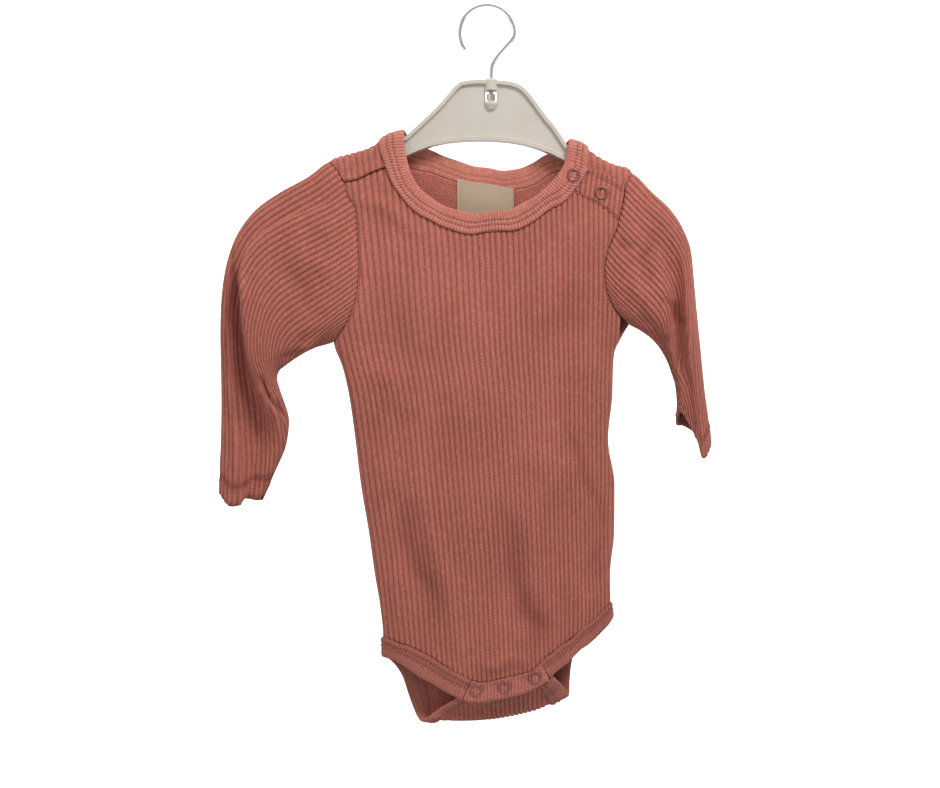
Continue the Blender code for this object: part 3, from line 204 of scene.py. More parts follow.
# The snap strip: across and drop of its upper edge, then of its lower edge
STRIP = (
    (-11.0, 425.3, -17.4, 439.7),
    (-2.0, 426.6, -5.6, 441.0),
    (14.3, 423.2, 11.0, 438.2),
    (30.0, 419.2, 28.0, 434.0),
    (36.8, 413.8, 42.4, 426.4),
)
SLEEVE_COLUMNS = ("along", "outer across", "outer drop", "inner across", "inner drop", "front",
                  "back", "flap at", "flap", "valley", "ridge at", "ridge")
SLEEVE_LEFT = (
    (0.00, -113.6, 57.6, -109.5, 187.1, 9.0, 8.0, 0.06, 5.0, 6.0, 0.20, 9.0),
    (0.10, -127.9, 68.4, -119.3, 189.4, 12.0, 9.0, 0.06, 6.0, 7.0, 0.20, 12.0),
    (0.22, -147.9, 79.6, -127.9, 193.0, 13.5, 10.0, 0.06, 6.5, 8.0, 0.20, 13.5),
    (0.34, -166.4, 93.2, -136.4, 198.0, 14.0, 11.0, 0.06, 7.0, 7.0, 0.22, 14.0),
    (0.46, -180.0, 112.6, -143.6, 203.4, 14.0, 11.0, 0.07, 7.5, 5.0, 0.28, 15.0),
    (0.56, -187.0, 135.0, -148.6, 207.6, 14.0, 11.0, 0.10, 8.5, 2.0, 0.44, 16.5),
    (0.64, -190.0, 160.0, -150.0, 213.0, 13.0, 11.0, 0.14, 9.5, -1.0, 0.55, 17.0),
    (0.72, -190.7, 185.0, -148.2, 220.0, 11.0, 10.0, 0.16, 10.0, -2.5, 0.64, 16.0),
    (0.79, -190.2, 210.0, -145.0, 229.0, 9.0, 10.0, 0.18, 10.0, -3.2, 0.74, 13.5),
    (0.86, -189.6, 233.6, -141.4, 243.0, 6.0, 10.0, 0.22, 10.0, -3.4, 0.84, 9.0),
    (0.92, -190.0, 256.4, -143.2, 259.4, 4.5, 9.0, 0.28, 9.6, -3.0, 0.86, 5.0),
    (0.965, -191.2, 276.4, -150.7, 278.0, 4.0, 8.0, 0.41, 9.0, -1.6, 0.86, 4.0),
    (1.00, -191.2, 293.6, -160.6, 299.0, 3.6, 7.0, 0.56, 8.6, 0.8, 0.88, 3.6),
)
SLEEVE_RIGHT = (
    (0.00, 104.6, 66.0, 101.4, 174.3, 9.0, 8.0, 0.10, 5.0, 7.6, 0.30, 9.0),
    (0.12, 117.9, 79.6, 107.1, 177.0, 12.0, 12.0, 0.12, 7.6, 10.4, 0.34, 12.0),
    (0.25, 130.7, 91.4, 112.9, 180.6, 13.4, 15.0, 0.16, 10.0, 11.0, 0.42, 13.0),
    (0.38, 140.0, 105.4, 117.9, 184.6, 14.0, 17.0, 0.22, 12.0, 9.0, 0.60, 14.0),
    (0.50, 145.7, 121.4, 122.9, 190.0, 14.4, 18.5, 0.30, 13.6, 6.4, 0.72, 12.6),
    (0.60, 147.9, 142.0, 126.4, 195.6, 14.4, 19.0, 0.36, 14.4, 4.8, 0.86, 9.6),
    (0.68, 150.0, 163.6, 129.3, 201.4, 14.0, 19.0, 0.42, 14.0, 4.0, 0.90, 6.6),
    (0.76, 152.1, 185.0, 132.1, 208.4, 13.0, 18.5, 0.46, 13.0, 5.0, 0.92, 5.4),
    (0.84, 154.3, 206.4, 135.0, 217.4, 12.4, 18.0, 0.48, 12.4, 7.0, 0.90, 6.0),
    (0.90, 156.4, 224.3, 135.8, 228.0, 12.4, 18.0, 0.50, 12.4, 8.6, 0.86, 7.0),
    (0.95, 158.6, 240.6, 135.6, 235.4, 12.4, 18.0, 0.50, 12.4, 9.0, 0.86, 7.4),
    (1.00, 160.0, 257.6, 135.8, 241.0, 12.4, 18.0, 0.50, 12.4, 9.4, 0.86, 7.6),
)
HEM_COLUMNS = ("across", "front droop", "back droop")
HEM_LEFT = ((0.0, 0.0, 0.0), (0.3, 8.0, 2.0), (0.52, 6.0, 2.0), (0.62, 1.0, 2.0), (0.85, 1.0, 1.0),
            (1.0, 0.0, 0.0))
HEM_RIGHT = ((0.0, 0.0, 0.0), (0.13, 8.9, 1.0), (0.32, 16.7, 0.0), (0.46, 9.0, 0.0),
             (0.68, 0.4, 0.6), (0.94, -5.6, 3.8), (1.0, 0.0, 0.0))

# Where the outermost ribs of the front would run if no edge cut them
RIB_EDGE_COLUMNS = ("drop", "left", "right")
RIB_EDGES = (
    (0.0, -138.0, 97.0), (60.0, -128.5, 96.5), (120.0, -119.5, 96.0), (187.0, -110.5, 94.5),
    (224.0, -101.0, 93.0), (288.0, -91.5, 92.5), (353.0, -82.0, 92.0), (412.0, -76.0, 91.5),
    (470.0, -70.0, 91.5),
)

# Soft folds, as ridges (+) and troughs (-) along a line. The columns are from across, from drop,
# to across, to drop, width and height
FRONT_FOLDS = (
    (-66.0, 296.0, -36.0, 386.0, 7.0, -2.2),
    (-52.0, 258.0, -18.0, 420.0, 6.0, 2.0),
    (9.0, 302.0, 38.0, 412.0, 8.0, -2.4),
    (24.0, 366.0, 38.0, 404.0, 8.0, -1.4),
    (30.0, 250.0, 52.0, 300.0, 12.0, 1.2),
    (52.0, 240.0, 82.0, 314.0, 3.6, -1.1),
    (88.0, 296.0, 80.0, 362.0, 8.0, -1.6),
    (-80.0, 150.0, -40.0, 210.0, 12.0, -0.9),
    (70.0, 150.0, 34.0, 200.0, 12.0, -0.9),
    (-88.0, 196.0, -50.0, 236.0, 8.0, 1.1),
    (78.0, 190.0, 46.0, 232.0, 9.0, 0.9),
    (-94.0, 80.0, -42.0, 112.0, 5.0, 1.4),
    (-60.0, 330.0, -66.0, 392.0, 6.0, 1.2),
    (-8.0, 416.0, 28.0, 410.0, 4.6, 1.4),
    (-20.0, 130.0, -8.0, 240.0, 16.0, 0.8),
    (60.0, 330.0, 66.0, 392.0, 7.0, 1.3),
)
BACK_FOLDS = (
    (-70.0, 240.0, -40.0, 380.0, 10.0, 1.6),
    (-40.0, 260.0, -16.0, 400.0, 9.0, -1.8),
    (20.0, 280.0, 30.0, 410.0, 10.0, -1.8),
    (50.0, 230.0, 64.0, 350.0, 11.0, 1.4),
    (-84.0, 170.0, -40.0, 230.0, 9.0, -1.1),
    (78.0, 165.0, 36.0, 230.0, 9.0, -1.1),
    (-60.0, 90.0, -30.0, 130.0, 11.0, 0.9),
    (64.0, 84.0, 36.0, 124.0, 11.0, 0.9),
)
LEFT_SLEEVE_FOLDS = (
    (-150.0, 126.0, -112.0, 176.0, 7.0, -1.0),
    (-140.0, 112.0, -100.0, 152.0, 7.0, 0.8),
    (-172.0, 116.0, -172.0, 172.0, 3.4, 1.6),
    (-160.0, 212.0, -143.0, 242.0, 2.4, -4.2),
    (-163.0, 214.0, -149.0, 240.0, 2.6, 1.8),
    (-181.0, 118.0, -178.0, 196.0, 2.6, -2.4),
    (-177.0, 212.0, -168.0, 298.0, 3.0, -3.2),
    (-168.0, 206.0, -160.0, 292.0, 5.0, -1.8),
    (-181.5, 212.0, -174.5, 298.0, 2.2, 1.6),
    (-120.0, 178.0, -152.0, 206.0, 3.6, -1.6),
    (-118.0, 186.0, -142.0, 196.0, 3.0, 1.3),
    (-128.0, 90.0, -100.0, 118.0, 8.0, 0.9),
    (-186.0, 132.0, -184.0, 262.0, 2.0, -0.9),
)
RIGHT_SLEEVE_FOLDS = (
    (116.0, 110.0, 109.0, 150.0, 4.6, -1.5),
    (127.0, 156.0, 140.0, 176.0, 3.2, -1.8),
    (84.0, 112.0, 108.0, 124.0, 4.6, -1.3),
    (100.0, 136.0, 124.0, 186.0, 5.0, 1.3),
    (108.0, 168.0, 130.0, 190.0, 3.2, -1.2),
    (140.0, 150.0, 146.0, 214.0, 3.0, 1.1),
)
RING_SHOULDER = ((60.9, 69.2), (80.9, 81.6))
RING_CROTCH = ((-7.9, 431.6), (12.1, 429.4), (33.8, 422.6))


# Reading tables and curves

def column(table, names, name):
    """One named column of a table, as numbers."""
    place_of = names.index(name)
    return np.array([row[place_of] for row in table], float)


def read(at, knots, values):
    """A table read with a monotone cubic: between two rows, the cubic that meets their values with
    slopes that are the harmonic mean of the chords on either side."""
    at = np.clip(at, knots[0], knots[-1])
    steps = np.diff(knots)
    slopes = np.diff(values) / steps
    inner = np.where(slopes[:-1] * slopes[1:] > 0,
                     2 * slopes[:-1] * slopes[1:] / (slopes[:-1] + slopes[1:] + 1e-12), 0.0)
    tangents = np.concatenate([slopes[:1], inner, slopes[-1:]])
    i = np.clip(np.searchsorted(knots, at, side="right") - 1, 0, len(steps) - 1)
    h = steps[i]
    t = (at - knots[i]) / h
    return (values[i] * (1 + 2 * t) * (1 - t) ** 2 + tangents[i] * h * t * (1 - t) ** 2
            + values[i + 1] * t * t * (3 - 2 * t) + tangents[i + 1] * h * t * t * (t - 1))


def read_column(table, names, name, at):
    """A named column of a table, read smoothly against the table's first column."""
    return read(at, column(table, names, names[0]), column(table, names, name))


def sides_at(table, names, drop):
    """The left and right columns of a table at a drop."""
    return [read_column(table, names, side, drop) for side in ("left", "right")]


def ease(t):
    """A smooth step from 0 to 1: 3t^2 - 2t^3."""
    t = np.clip(t, 0.0, 1.0)
    return t * t * (3 - 2 * t)


def arc_length(points):
    """Distance along a run of points from its first one."""
    return np.concatenate([[0], np.cumsum(np.linalg.norm(np.diff(points, axis=0), axis=1))])


def cut_at(wanted, along, points):
    """A run's points at the wanted distances along it."""
    return np.stack([np.interp(wanted, along, points[:, k]) for k in range(points.shape[1])], 1)


def through(points, count):
    """Points spaced evenly along a Catmull-Rom curve through the given ones."""
    points = np.asarray(points, float)
    ends = np.vstack([2 * points[0] - points[1], points, 2 * points[-1] - points[-2]])
    t = np.linspace(0, len(points) - 1, 40 * len(points))
    i = np.minimum(t.astype(int), len(points) - 2)
    f = (t - i)[:, None]
    a, b, c, d = ends[i], ends[i + 1], ends[i + 2], ends[i + 3]
    fine = 0.5 * (2 * b + (c - a) * f + (2 * a - 5 * b + 4 * c - d) * f ** 2
                  + (3 * b - a - 3 * c + d) * f ** 3)
    along = arc_length(fine)
    return cut_at(np.linspace(0, along[-1], count), along, fine)


def waver(a, b, seed):
    """A smooth uneven value between about -1 and 1: three sines of the two coordinates added."""
    return (np.sin(a * 1.0 + b * 0.37 + seed) + np.sin(a * 0.43 - b * 0.91 + 2.1 * seed)
            + np.sin(a * 0.17 + b * 1.63 + 3.7 * seed)) / 3


# The draped surface

def crest(across):
    """Drop of the shoulder fold."""
    return read(across, column(CREST, CREST_COLUMNS, "across"), column(CREST, CREST_COLUMNS, "drop"))


def half_depth(across, drop, side):
    """Depth from the hanger's plane: the table's depth times (1 - reach^p)^(1/2), where reach is how
    far across towards the side fold."""
    left, right = sides_at(BODY, BODY_COLUMNS, drop)
    reach = np.clip(np.abs((2 * across - left - right) / (right - left)), 0.0, 1.0)
    return read_column(BODY, BODY_COLUMNS, side, drop) * np.sqrt(1 - reach ** SIDE_POWER)


def girth_of_drop(across, drop):
    """Distance over the shoulder's quarter round, then straight down."""
    below = np.maximum(drop - crest(across), 0.0)
    turn = np.arccos(np.clip(1 - below / CREST_RADIUS, -1.0, 1.0))
    straight = below - CREST_RADIUS + CREST_RADIUS * math.pi / 2
    return np.where(below < CREST_RADIUS, CREST_RADIUS * turn, straight)


def under_start(across):
    """Girth on the back at which the cloth starts to round under the crotch."""
    fold = read(across, column(UNDER, UNDER_COLUMNS, "across"), column(UNDER, UNDER_COLUMNS, "drop"))
    return girth_of_drop(across, fold - FOLD_RADIUS - 0.75)


def girth(across, drop, side):
    """The girth coordinate of a place given by its side of the garment."""
    across = np.asarray(across, float)
    plain = girth_of_drop(across, drop)
    start = under_start(across)
    half_turn = FOLD_RADIUS * math.pi / 2
    values = {"front": -plain, "crest": 0 * plain, "back": plain, "under": start + half_turn,
              "tab": start + 2 * half_turn + (start - plain)}
    return values[side]


def place(across, along, lift=0.0):
    """Points of the draped cloth: a quarter round of CREST_RADIUS over the shoulder, straight down
    front and back at half_depth, and a half round of FOLD_RADIUS under the crotch. A lift of 1 takes
    the front out by LAP where it laps over the placket."""
    across, along, lift = np.broadcast_arrays(np.asarray(across, float), np.asarray(along, float),
                                              np.asarray(lift, float))
    over = np.abs(along)
    quarter = CREST_RADIUS * math.pi / 2
    turn = np.minimum(over, quarter) / CREST_RADIUS
    drop = crest(across) + CREST_RADIUS * (1 - np.cos(turn)) + np.maximum(over - quarter, 0.0)
    start = under_start(across)
    past = np.where(along > 0, np.maximum(along - start, 0.0), 0.0)
    bend = np.minimum(past / FOLD_RADIUS, math.pi)
    rise = np.maximum(past - FOLD_RADIUS * math.pi, 0.0)
    drop = drop - past + FOLD_RADIUS * np.sin(bend) - rise
    front = half_depth(across, drop, "front") * np.sin(turn)
    back = half_depth(across, np.where(past > 0, drop + rise, drop), "back") * np.sin(turn)
    lapped = lift * LAP * ease((across - 36.0) / 20.0) * ease((138.0 - drop) / 34.0)
    y_front = -np.maximum(front, 0.0) - lapped
    y_bend = back - FOLD_RADIUS * (1 - np.cos(bend))
    y_tab = -(half_depth(across, drop, "front") - TUCK)
    y_back = np.where(past > 0, y_bend + (y_tab - y_bend) * ease(rise / 14.0), back)
    return np.stack([across, np.where(along < 0, y_front, y_back), -HANGER_TOP - drop], -1)


def facing(across, along, lift=0.0):
    """Unit normals of the draped cloth, away from the garment's inside: the cross product of its
    two slopes."""
    step = 0.05
    slide = place(across + step, along, lift) - place(across - step, along, lift)
    climb = place(across, along + step, lift) - place(across, along - step, lift)
    normal = np.cross(slide, climb)
    return normal / (np.linalg.norm(normal, axis=-1, keepdims=True) + 1e-12)


def draped(across, along, lift=0.0):
    """Points and normals of a piece of the draped surface; at the side folds the normals turn
    straight outwards."""
    points = place(across, along, lift)
    normals = facing(across, along, lift)
    drop = -points[..., 2] - HANGER_TOP
    left, right = sides_at(BODY, BODY_COLUMNS, drop)
    away = np.minimum(np.abs(across - left), np.abs(across - right))
    flat = np.stack([np.sign(across), 0 * across, 0 * across], -1)
    share = (ease(1 - away / 1.2) * (drop > 165))[..., None]
    normals = normals * (1 - share) + flat * share
    return points, normals / np.linalg.norm(normals, axis=-1, keepdims=True)


def flat_run(points, side, count, smooth=True):
    """A seam's points in the flat layout, evenly spaced along it."""
    points = through(points, count) if smooth else np.asarray(points, float)
    return np.stack([points[:, 0], girth(points[:, 0], points[:, 1], side)], 1)


def coons(top, bottom, left, right):
    """A net between four edges: both rulings added, less the corners' own ruling."""
    u = np.linspace(0, 1, len(top))[None, :, None]
    v = np.linspace(0, 1, len(left))[:, None, None]
    ruled = (1 - v) * top[None] + v * bottom[None] + (1 - u) * left[:, None] + u * right[:, None]
    corners = ((1 - u) * (1 - v) * top[0] + u * (1 - v) * top[-1]
               + (1 - u) * v * bottom[0] + u * v * bottom[-1])
    return ruled - corners


def folds(table, across, drop):
    """Sum of soft folds. Each is 1.5 x height x exp(-(d/width)^2) across its line, which sways a
    little, and rises and dies away along it as a sine arch."""
    total = np.zeros(np.broadcast(across, drop).shape)
    for x0, d0, x1, d1, width, height in table:
        length = math.hypot(x1 - x0, d1 - d0)
        ux, ud = (x1 - x0) / length, (d1 - d0) / length
        t = ((across - x0) * ux + (drop - d0) * ud) / length
        off = (across - x0) * ud - (drop - d0) * ux
        off = off + 0.35 * width * np.sin(3.1 * t * math.pi + x0)
        arch = np.sin(math.pi * np.clip(t * 0.86 + 0.07, 0.0, 1.0)) ** 1.2
        total += 1.5 * height * np.exp(-(off / width) ** 2) * arch * ((t > -0.08) & (t < 1.08))
    return total


def rib_shape(rib, depth):
    """Height of the rib knit over its count of ribs: at each whole number a narrow groove, depth x
    exp(-(distance/0.13)^2), and shoulders that round into it as depth/2 x (1 - 2 distance)^3."""
    off = np.abs(rib - np.round(rib))
    return -depth * np.exp(-(off / 0.13) ** 2) - 0.5 * depth * (1 - 2 * off) ** 3


RIB_PHASES = np.array([0.0, 0.1, 0.22, 0.5, 0.78, 0.9])


def rib_stations(count):
    """Places of the net's columns, counted in ribs: six to a rib, closer at the groove."""
    return np.concatenate([(np.arange(count)[:, None] + RIB_PHASES).ravel(), [float(count)]])


# Meshes

def net_normals(points, wrapped):
    """Unit normals of a net: the cross product of its rows' and columns' slopes."""
    if wrapped:
        slide = np.roll(points, -1, 1) - np.roll(points, 1, 1)
    else:
        slide = np.gradient(points, axis=1)
    normal = np.cross(np.gradient(points, axis=0), slide)
    return normal / (np.linalg.norm(normal, axis=-1, keepdims=True) + 1e-12)


def shell_mesh(name, outer, inner, marks, wrapped=False):
    """A closed wall between two nets of points, with named numbers stored at its points."""
    rows, columns = outer.shape[:2]
    count = rows * columns
    index = np.arange(count).reshape(rows, columns)
    after = np.roll(index, -1, 1) if wrapped else index[:, 1:]
    before = index if wrapped else index[:, :-1]
    a, b, c, d = before[:-1], before[1:], after[1:], after[:-1]
    outside = np.stack([a, b, c, d], -1).reshape(-1, 4)
    inside = np.stack([a, d, c, b], -1).reshape(-1, 4) + count
    rims = [np.stack([before[0], after[0]], -1).reshape(-1, 2),
            np.stack([after[-1], before[-1]], -1).reshape(-1, 2)]
    if not wrapped:
        rims += [np.stack([index[1:, 0], index[:-1, 0]], -1),
                 np.stack([index[:-1, -1], index[1:, -1]], -1)]
    rim = np.concatenate(rims)
    sides = np.concatenate([rim, rim[:, ::-1] + count], 1)
    faces = np.concatenate([outside, inside, sides])
    vertices = np.concatenate([outer.reshape(-1, 3), inner.reshape(-1, 3)])
    stored = {}
    for key, value in marks.items():
        skin = np.broadcast_to(value, (rows, columns)).ravel()
        lining = 0 * skin + LINING_RIB if key == "rib" else skin
        stored[key] = np.concatenate([skin, lining])
    return quad_mesh(name, vertices, faces, stored)


def quad_mesh(name, vertices, faces, marks=None):
    """A mesh from millimetres and whole arrays of four-cornered faces."""
    mesh = bpy.data.meshes.new(name)
    mesh.vertices.add(len(vertices))
    mesh.vertices.foreach_set("co", (vertices * MM).astype(np.float32).ravel())
    mesh.loops.add(faces.size)
    mesh.loops.foreach_set("vertex_index", faces.astype(np.int32).ravel())
    mesh.polygons.add(len(faces))
    mesh.polygons.foreach_set("loop_start", np.arange(0, faces.size, 4, dtype=np.int32))
    mesh.update(calc_edges=True)
    mesh.validate()
    mesh.shade_smooth()
    for key, value in (marks or {}).items():
        mesh.attributes.new(key, "FLOAT", "POINT").data.foreach_set("value",
                                                                    value.astype(np.float32))
    return mesh


def add_piece(name, mesh, finish, nodes=()):
    """An object in the scene that rides on the body, takes a slot and stands for CAD nodes."""
    made = bpy.data.objects.new(name, mesh)
    mesh.materials.append(finish)
    bpy.context.scene.collection.objects.link(made)
    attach(made, "root")
    if nodes:
        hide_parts(*nodes)
    return made


# Materials

class Socket:
    """A shader value whose arithmetic adds Math nodes."""

    def __init__(self, tree, link):
        self.tree = tree
        self.link = link

    def _math(self, operation, *values):
        return self.tree.node("ShaderNodeMath", {"operation": operation}, values)

    def __add__(self, other):
        return self._math("ADD", self, other)

    __radd__ = __add__

    def __sub__(self, other):
        return self._math("SUBTRACT", self, other)

    def __rsub__(self, other):
        return self._math("SUBTRACT", other, self)

    def __mul__(self, other):
        return self._math("MULTIPLY", self, other)

    __rmul__ = __mul__

    def __truediv__(self, other):
        return self._math("DIVIDE", self, other)

    def sine(self):
        return self._math("SINE", self)

    def size(self):
        return self._math("ABSOLUTE", self)

    def rest(self):
        return self._math("FRACT", self)

    def smooth(self, low, high):
        return self.tree.node("ShaderNodeMapRange", {"interpolation_type": "SMOOTHSTEP"},
                              {"Value": self, "From Min": low, "From Max": high}, "Result")


class Finish:
    """A material whose nodes are added by one method."""

    def __init__(self, name, colour, roughness, metallic=0.0):
        self.material = bpy.data.materials.new(name)
        self.material.use_nodes = True
        self.nodes = self.material.node_tree.nodes
        self.links = self.material.node_tree.links
        self.shader = self.nodes["Principled BSDF"]
        self.set("Base Color", (*colour, 1.0))
        self.set("Roughness", roughness)
        self.set("Metallic", metallic)

    def set(self, name, value):
        """A shader socket set to a constant or linked to a value."""
        if isinstance(value, Socket):
            self.links.new(value.link, self.shader.inputs[name])
        else:
            self.shader.inputs[name].default_value = value

    def node(self, kind, settings=None, values=(), output=0):
        """A node of a type, with its settings, then its sockets' values or links."""
        made = self.nodes.new(kind)
        for key, value in (settings or {}).items():
            setattr(made, key, value)
        pairs = values.items() if isinstance(values, dict) else enumerate(values)
        for key, value in pairs:
            if isinstance(value, Socket):
                self.links.new(value.link, made.inputs[key])
            else:
                made.inputs[key].default_value = value
        return Socket(self, made.outputs[output])

    def mark(self, name):
        """A number stored at the mesh's points."""
        return self.node("ShaderNodeAttribute", {"attribute_name": name}, (), "Fac")

    def where(self):
        """Object coordinates."""
        return self.node("ShaderNodeTexCoord", None, (), "Object")

    def noise(self, scale, detail, stretch=(1.0, 1.0, 1.0)):
        """Noise on Object coordinates."""
        spot = self.node("ShaderNodeMapping", None, {"Vector": self.where(), "Scale": stretch})
        return self.node("ShaderNodeTexNoise", None,
                         {"Vector": spot, "Scale": scale, "Detail": detail}, 0)

    def mix(self, factor, first, second):
        """Two colours mixed."""
        made = self.nodes.new("ShaderNodeMix")
        made.data_type = "RGBA"
        for key, value in ((0, factor), (6, first), (7, second)):
            if isinstance(value, Socket):
                self.links.new(value.link, made.inputs[key])
            elif key == 0:
                made.inputs[key].default_value = value
            else:
                made.inputs[key].default_value = (*value, 1.0)
        return Socket(self, made.outputs[2])

    def bump(self, height, distance, strength):
        """A bumped normal."""
        return self.node("ShaderNodeBump", None,
                         {"Height": height, "Distance": distance, "Strength": strength}, "Normal")


def knit_finish(name, colour, groove, sheen=0.35, loop=2.3, groove_shade_strength=0.46,
                loop_strength=0.46):
    """Rib knit. Colour: the rose darkens between its loops, takes painted shade towards the groove
    colour in each groove and where the shade mark says, and pales in patches, in flecks and, as a
    painted highlight, along each rib's crown. Height: rows of loops along each rib, staggered from
    rib to rib, with fine fuzz."""
    made = Finish(name, colour, 0.88)
    rib = made.mark("rib")
    run = made.mark("run")
    phase = (rib.rest() - 0.5).size() * 2.0
    gully = phase.smooth(0.7, 1.0)
    stagger = (rib - rib.rest()) * 0.37
    loops = ((run / loop + phase * 0.3 + stagger) * (2 * math.pi)).sine() * 0.5 + 0.5
    grain = made.noise(620.0, 3.0)
    patches = made.noise(16.0, 3.0)
    streak = made.noise(60.0, 2.0, (1.0, 1.0, 0.12))
    fleck = made.noise(560.0, 2.0, (1.0, 1.0, 0.45)).smooth(0.48, 0.72)
    shade = made.mark("shade")
    pale = tuple(min(1.0, c * 1.55 + 0.02) for c in colour)
    deep = tuple(c * 0.6 for c in colour)
    base = made.mix(patches.smooth(0.32, 0.7), deep, pale)
    base = made.mix(0.72, base, colour)
    base = made.mix(streak.smooth(0.35, 0.75) * 0.28, base, pale)
    base = made.mix(grain.smooth(0.35, 0.7) * 0.52, base, deep)
    base = made.mix((1.0 - loops) * loop_strength * (1.0 - gully), base, deep)
    base = made.mix(fleck * 0.36 * (1.0 - gully * 0.5), base, pale)
    # painted highlight: each rib's crown is paled
    base = made.mix((1.0 - phase.smooth(0.15, 0.75)) * 0.3, base, pale)
    # painted shade: each rib's groove is darkened towards the groove colour
    base = made.mix(gully * groove_shade_strength, base, groove)
    # painted shade: the knit is darkened towards the groove colour as far as the shade mark says
    base = made.mix(shade, base, groove)
    made.set("Base Color", base)
    made.set("Roughness", 0.84 + grain * 0.12)
    height = loops * (1.0 - gully * 0.6) * 0.6 + grain * 0.6
    made.set("Normal", made.bump(height, 0.00022, 0.8))
    made.set("Sheen Weight", sheen)
    made.set("Sheen Roughness", 0.45)
    made.set("Sheen Tint", (0.95, 0.62, 0.55, 1.0))
    made.set("Specular IOR Level", 0.25)
    return made.material


def thread_finish(name, colour):
    """Sewing thread: a twist of fine strands."""
    made = Finish(name, colour, 0.62)
    run = made.mark("run")
    twist = ((run * 9.0).sine() * 0.5 + 0.5)
    grain = made.noise(900.0, 2.0)
    dark = tuple(c * 0.6 for c in colour)
    made.set("Base Color", made.mix(twist * 0.35 + grain * 0.25, colour, dark))
    made.set("Normal", made.bump(twist, 0.0001, 0.6))
    made.set("Sheen Weight", 0.2)
    return made.material


def tape_finish(name, colour):
    """Woven satin tape: fine warp lines with a slow change of tone."""
    made = Finish(name, colour, 0.5)
    rib = made.mark("rib")
    run = made.mark("run")
    warp = (rib * (2 * math.pi / 0.45)).sine() * 0.5 + 0.5
    weft = (run * (2 * math.pi / 0.6)).sine() * 0.5 + 0.5
    patches = made.noise(40.0, 2.0)
    dark = tuple(c * 0.72 for c in colour)
    base = made.mix(warp * 0.3 + weft * 0.14, colour, dark)
    made.set("Base Color", made.mix(patches.smooth(0.3, 0.8) * 0.25, base, dark))
    made.set("Normal", made.bump(warp * 0.6 + weft * 0.4, 0.00008, 0.6))
    made.set("Sheen Weight", 0.3)
    return made.material


def plastic_finish(name, colour):
    """Moulded plastic, faintly mottled, with a fine orange-peel surface."""
    made = Finish(name, colour, 0.42)
    mottle = made.noise(35.0, 3.0)
    peel = made.noise(420.0, 2.0)
    scuff = made.noise(90.0, 4.0, (1.0, 1.0, 0.25))
    warm = tuple(c * s for c, s in zip(colour, (0.9, 0.86, 0.8)))
    made.set("Base Color", made.mix(mottle.smooth(0.35, 0.75) * 0.5, colour, warm))
    made.set("Roughness", 0.36 + scuff * 0.16)
    made.set("Normal", made.bump(peel, 0.00006, 0.5))
    made.set("Subsurface Weight", 0.06)
    made.set("Subsurface Radius", (0.004, 0.003, 0.002))
    return made.material


def metal_finish(name, colour, roughness):
    """Plated wire with fine drawn lines and a slight haze."""
    made = Finish(name, colour, roughness, 1.0)
    haze = made.noise(120.0, 3.0)
    lines = made.noise(500.0, 2.0, (1.0, 1.0, 0.05))
    dark = tuple(c * 0.8 for c in colour)
    made.set("Base Color", made.mix(haze.smooth(0.3, 0.8) * 0.4, colour, dark))
    made.set("Roughness", roughness + haze * 0.12)
    made.set("Normal", made.bump(lines, 0.00003, 0.4))
    return made.material


def enamel_finish(name, colour):
    """Dyed metal ring: satin enamel, worn paler on its crown."""
    made = Finish(name, colour, 0.42, 0.25)
    wear = made.noise(300.0, 3.0)
    pale = tuple(min(1.0, c * 1.7) for c in colour)
    crown = made.mark("rib")
    made.set("Base Color", made.mix(crown.smooth(0.5, 1.0) * 0.35 + wear * 0.15, colour, pale))
    made.set("Roughness", 0.34 + wear * 0.2)
    made.set("Coat Weight", 0.2)
    return made.material


# Settings

class BodysuitSizes(bpy.types.PropertyGroup):
    """Sizes of the cloth and its stitching."""

    wall: FloatProperty(name="Cloth wall", description="Thickness of the rib knit", default=0.0011,
                        unit="LENGTH", subtype="DISTANCE")
    band_wall: FloatProperty(name="Band wall", description="Thickness of the bound bands",
                             default=0.0020, unit="LENGTH", subtype="DISTANCE")
    groove: FloatProperty(name="Groove depth", description="Depth of the grooves between ribs",
                          default=0.00052, unit="LENGTH", subtype="DISTANCE")
    front_ribs: IntProperty(name="Front ribs", description="Ribs across the front panel", default=52)
    back_ribs: IntProperty(name="Back ribs", description="Ribs across the back panel", default=50)
    sleeve_rib: FloatProperty(name="Sleeve rib", description="Width of one rib on the sleeves",
                              default=0.0042, unit="LENGTH", subtype="DISTANCE")
    band_rib: FloatProperty(name="Band rib", description="Width of one cross rib on the bands",
                            default=0.0021, unit="LENGTH", subtype="DISTANCE")
    stitch: FloatProperty(name="Stitch length", description="Length of one stitch", default=0.0026,
                          unit="LENGTH", subtype="DISTANCE")


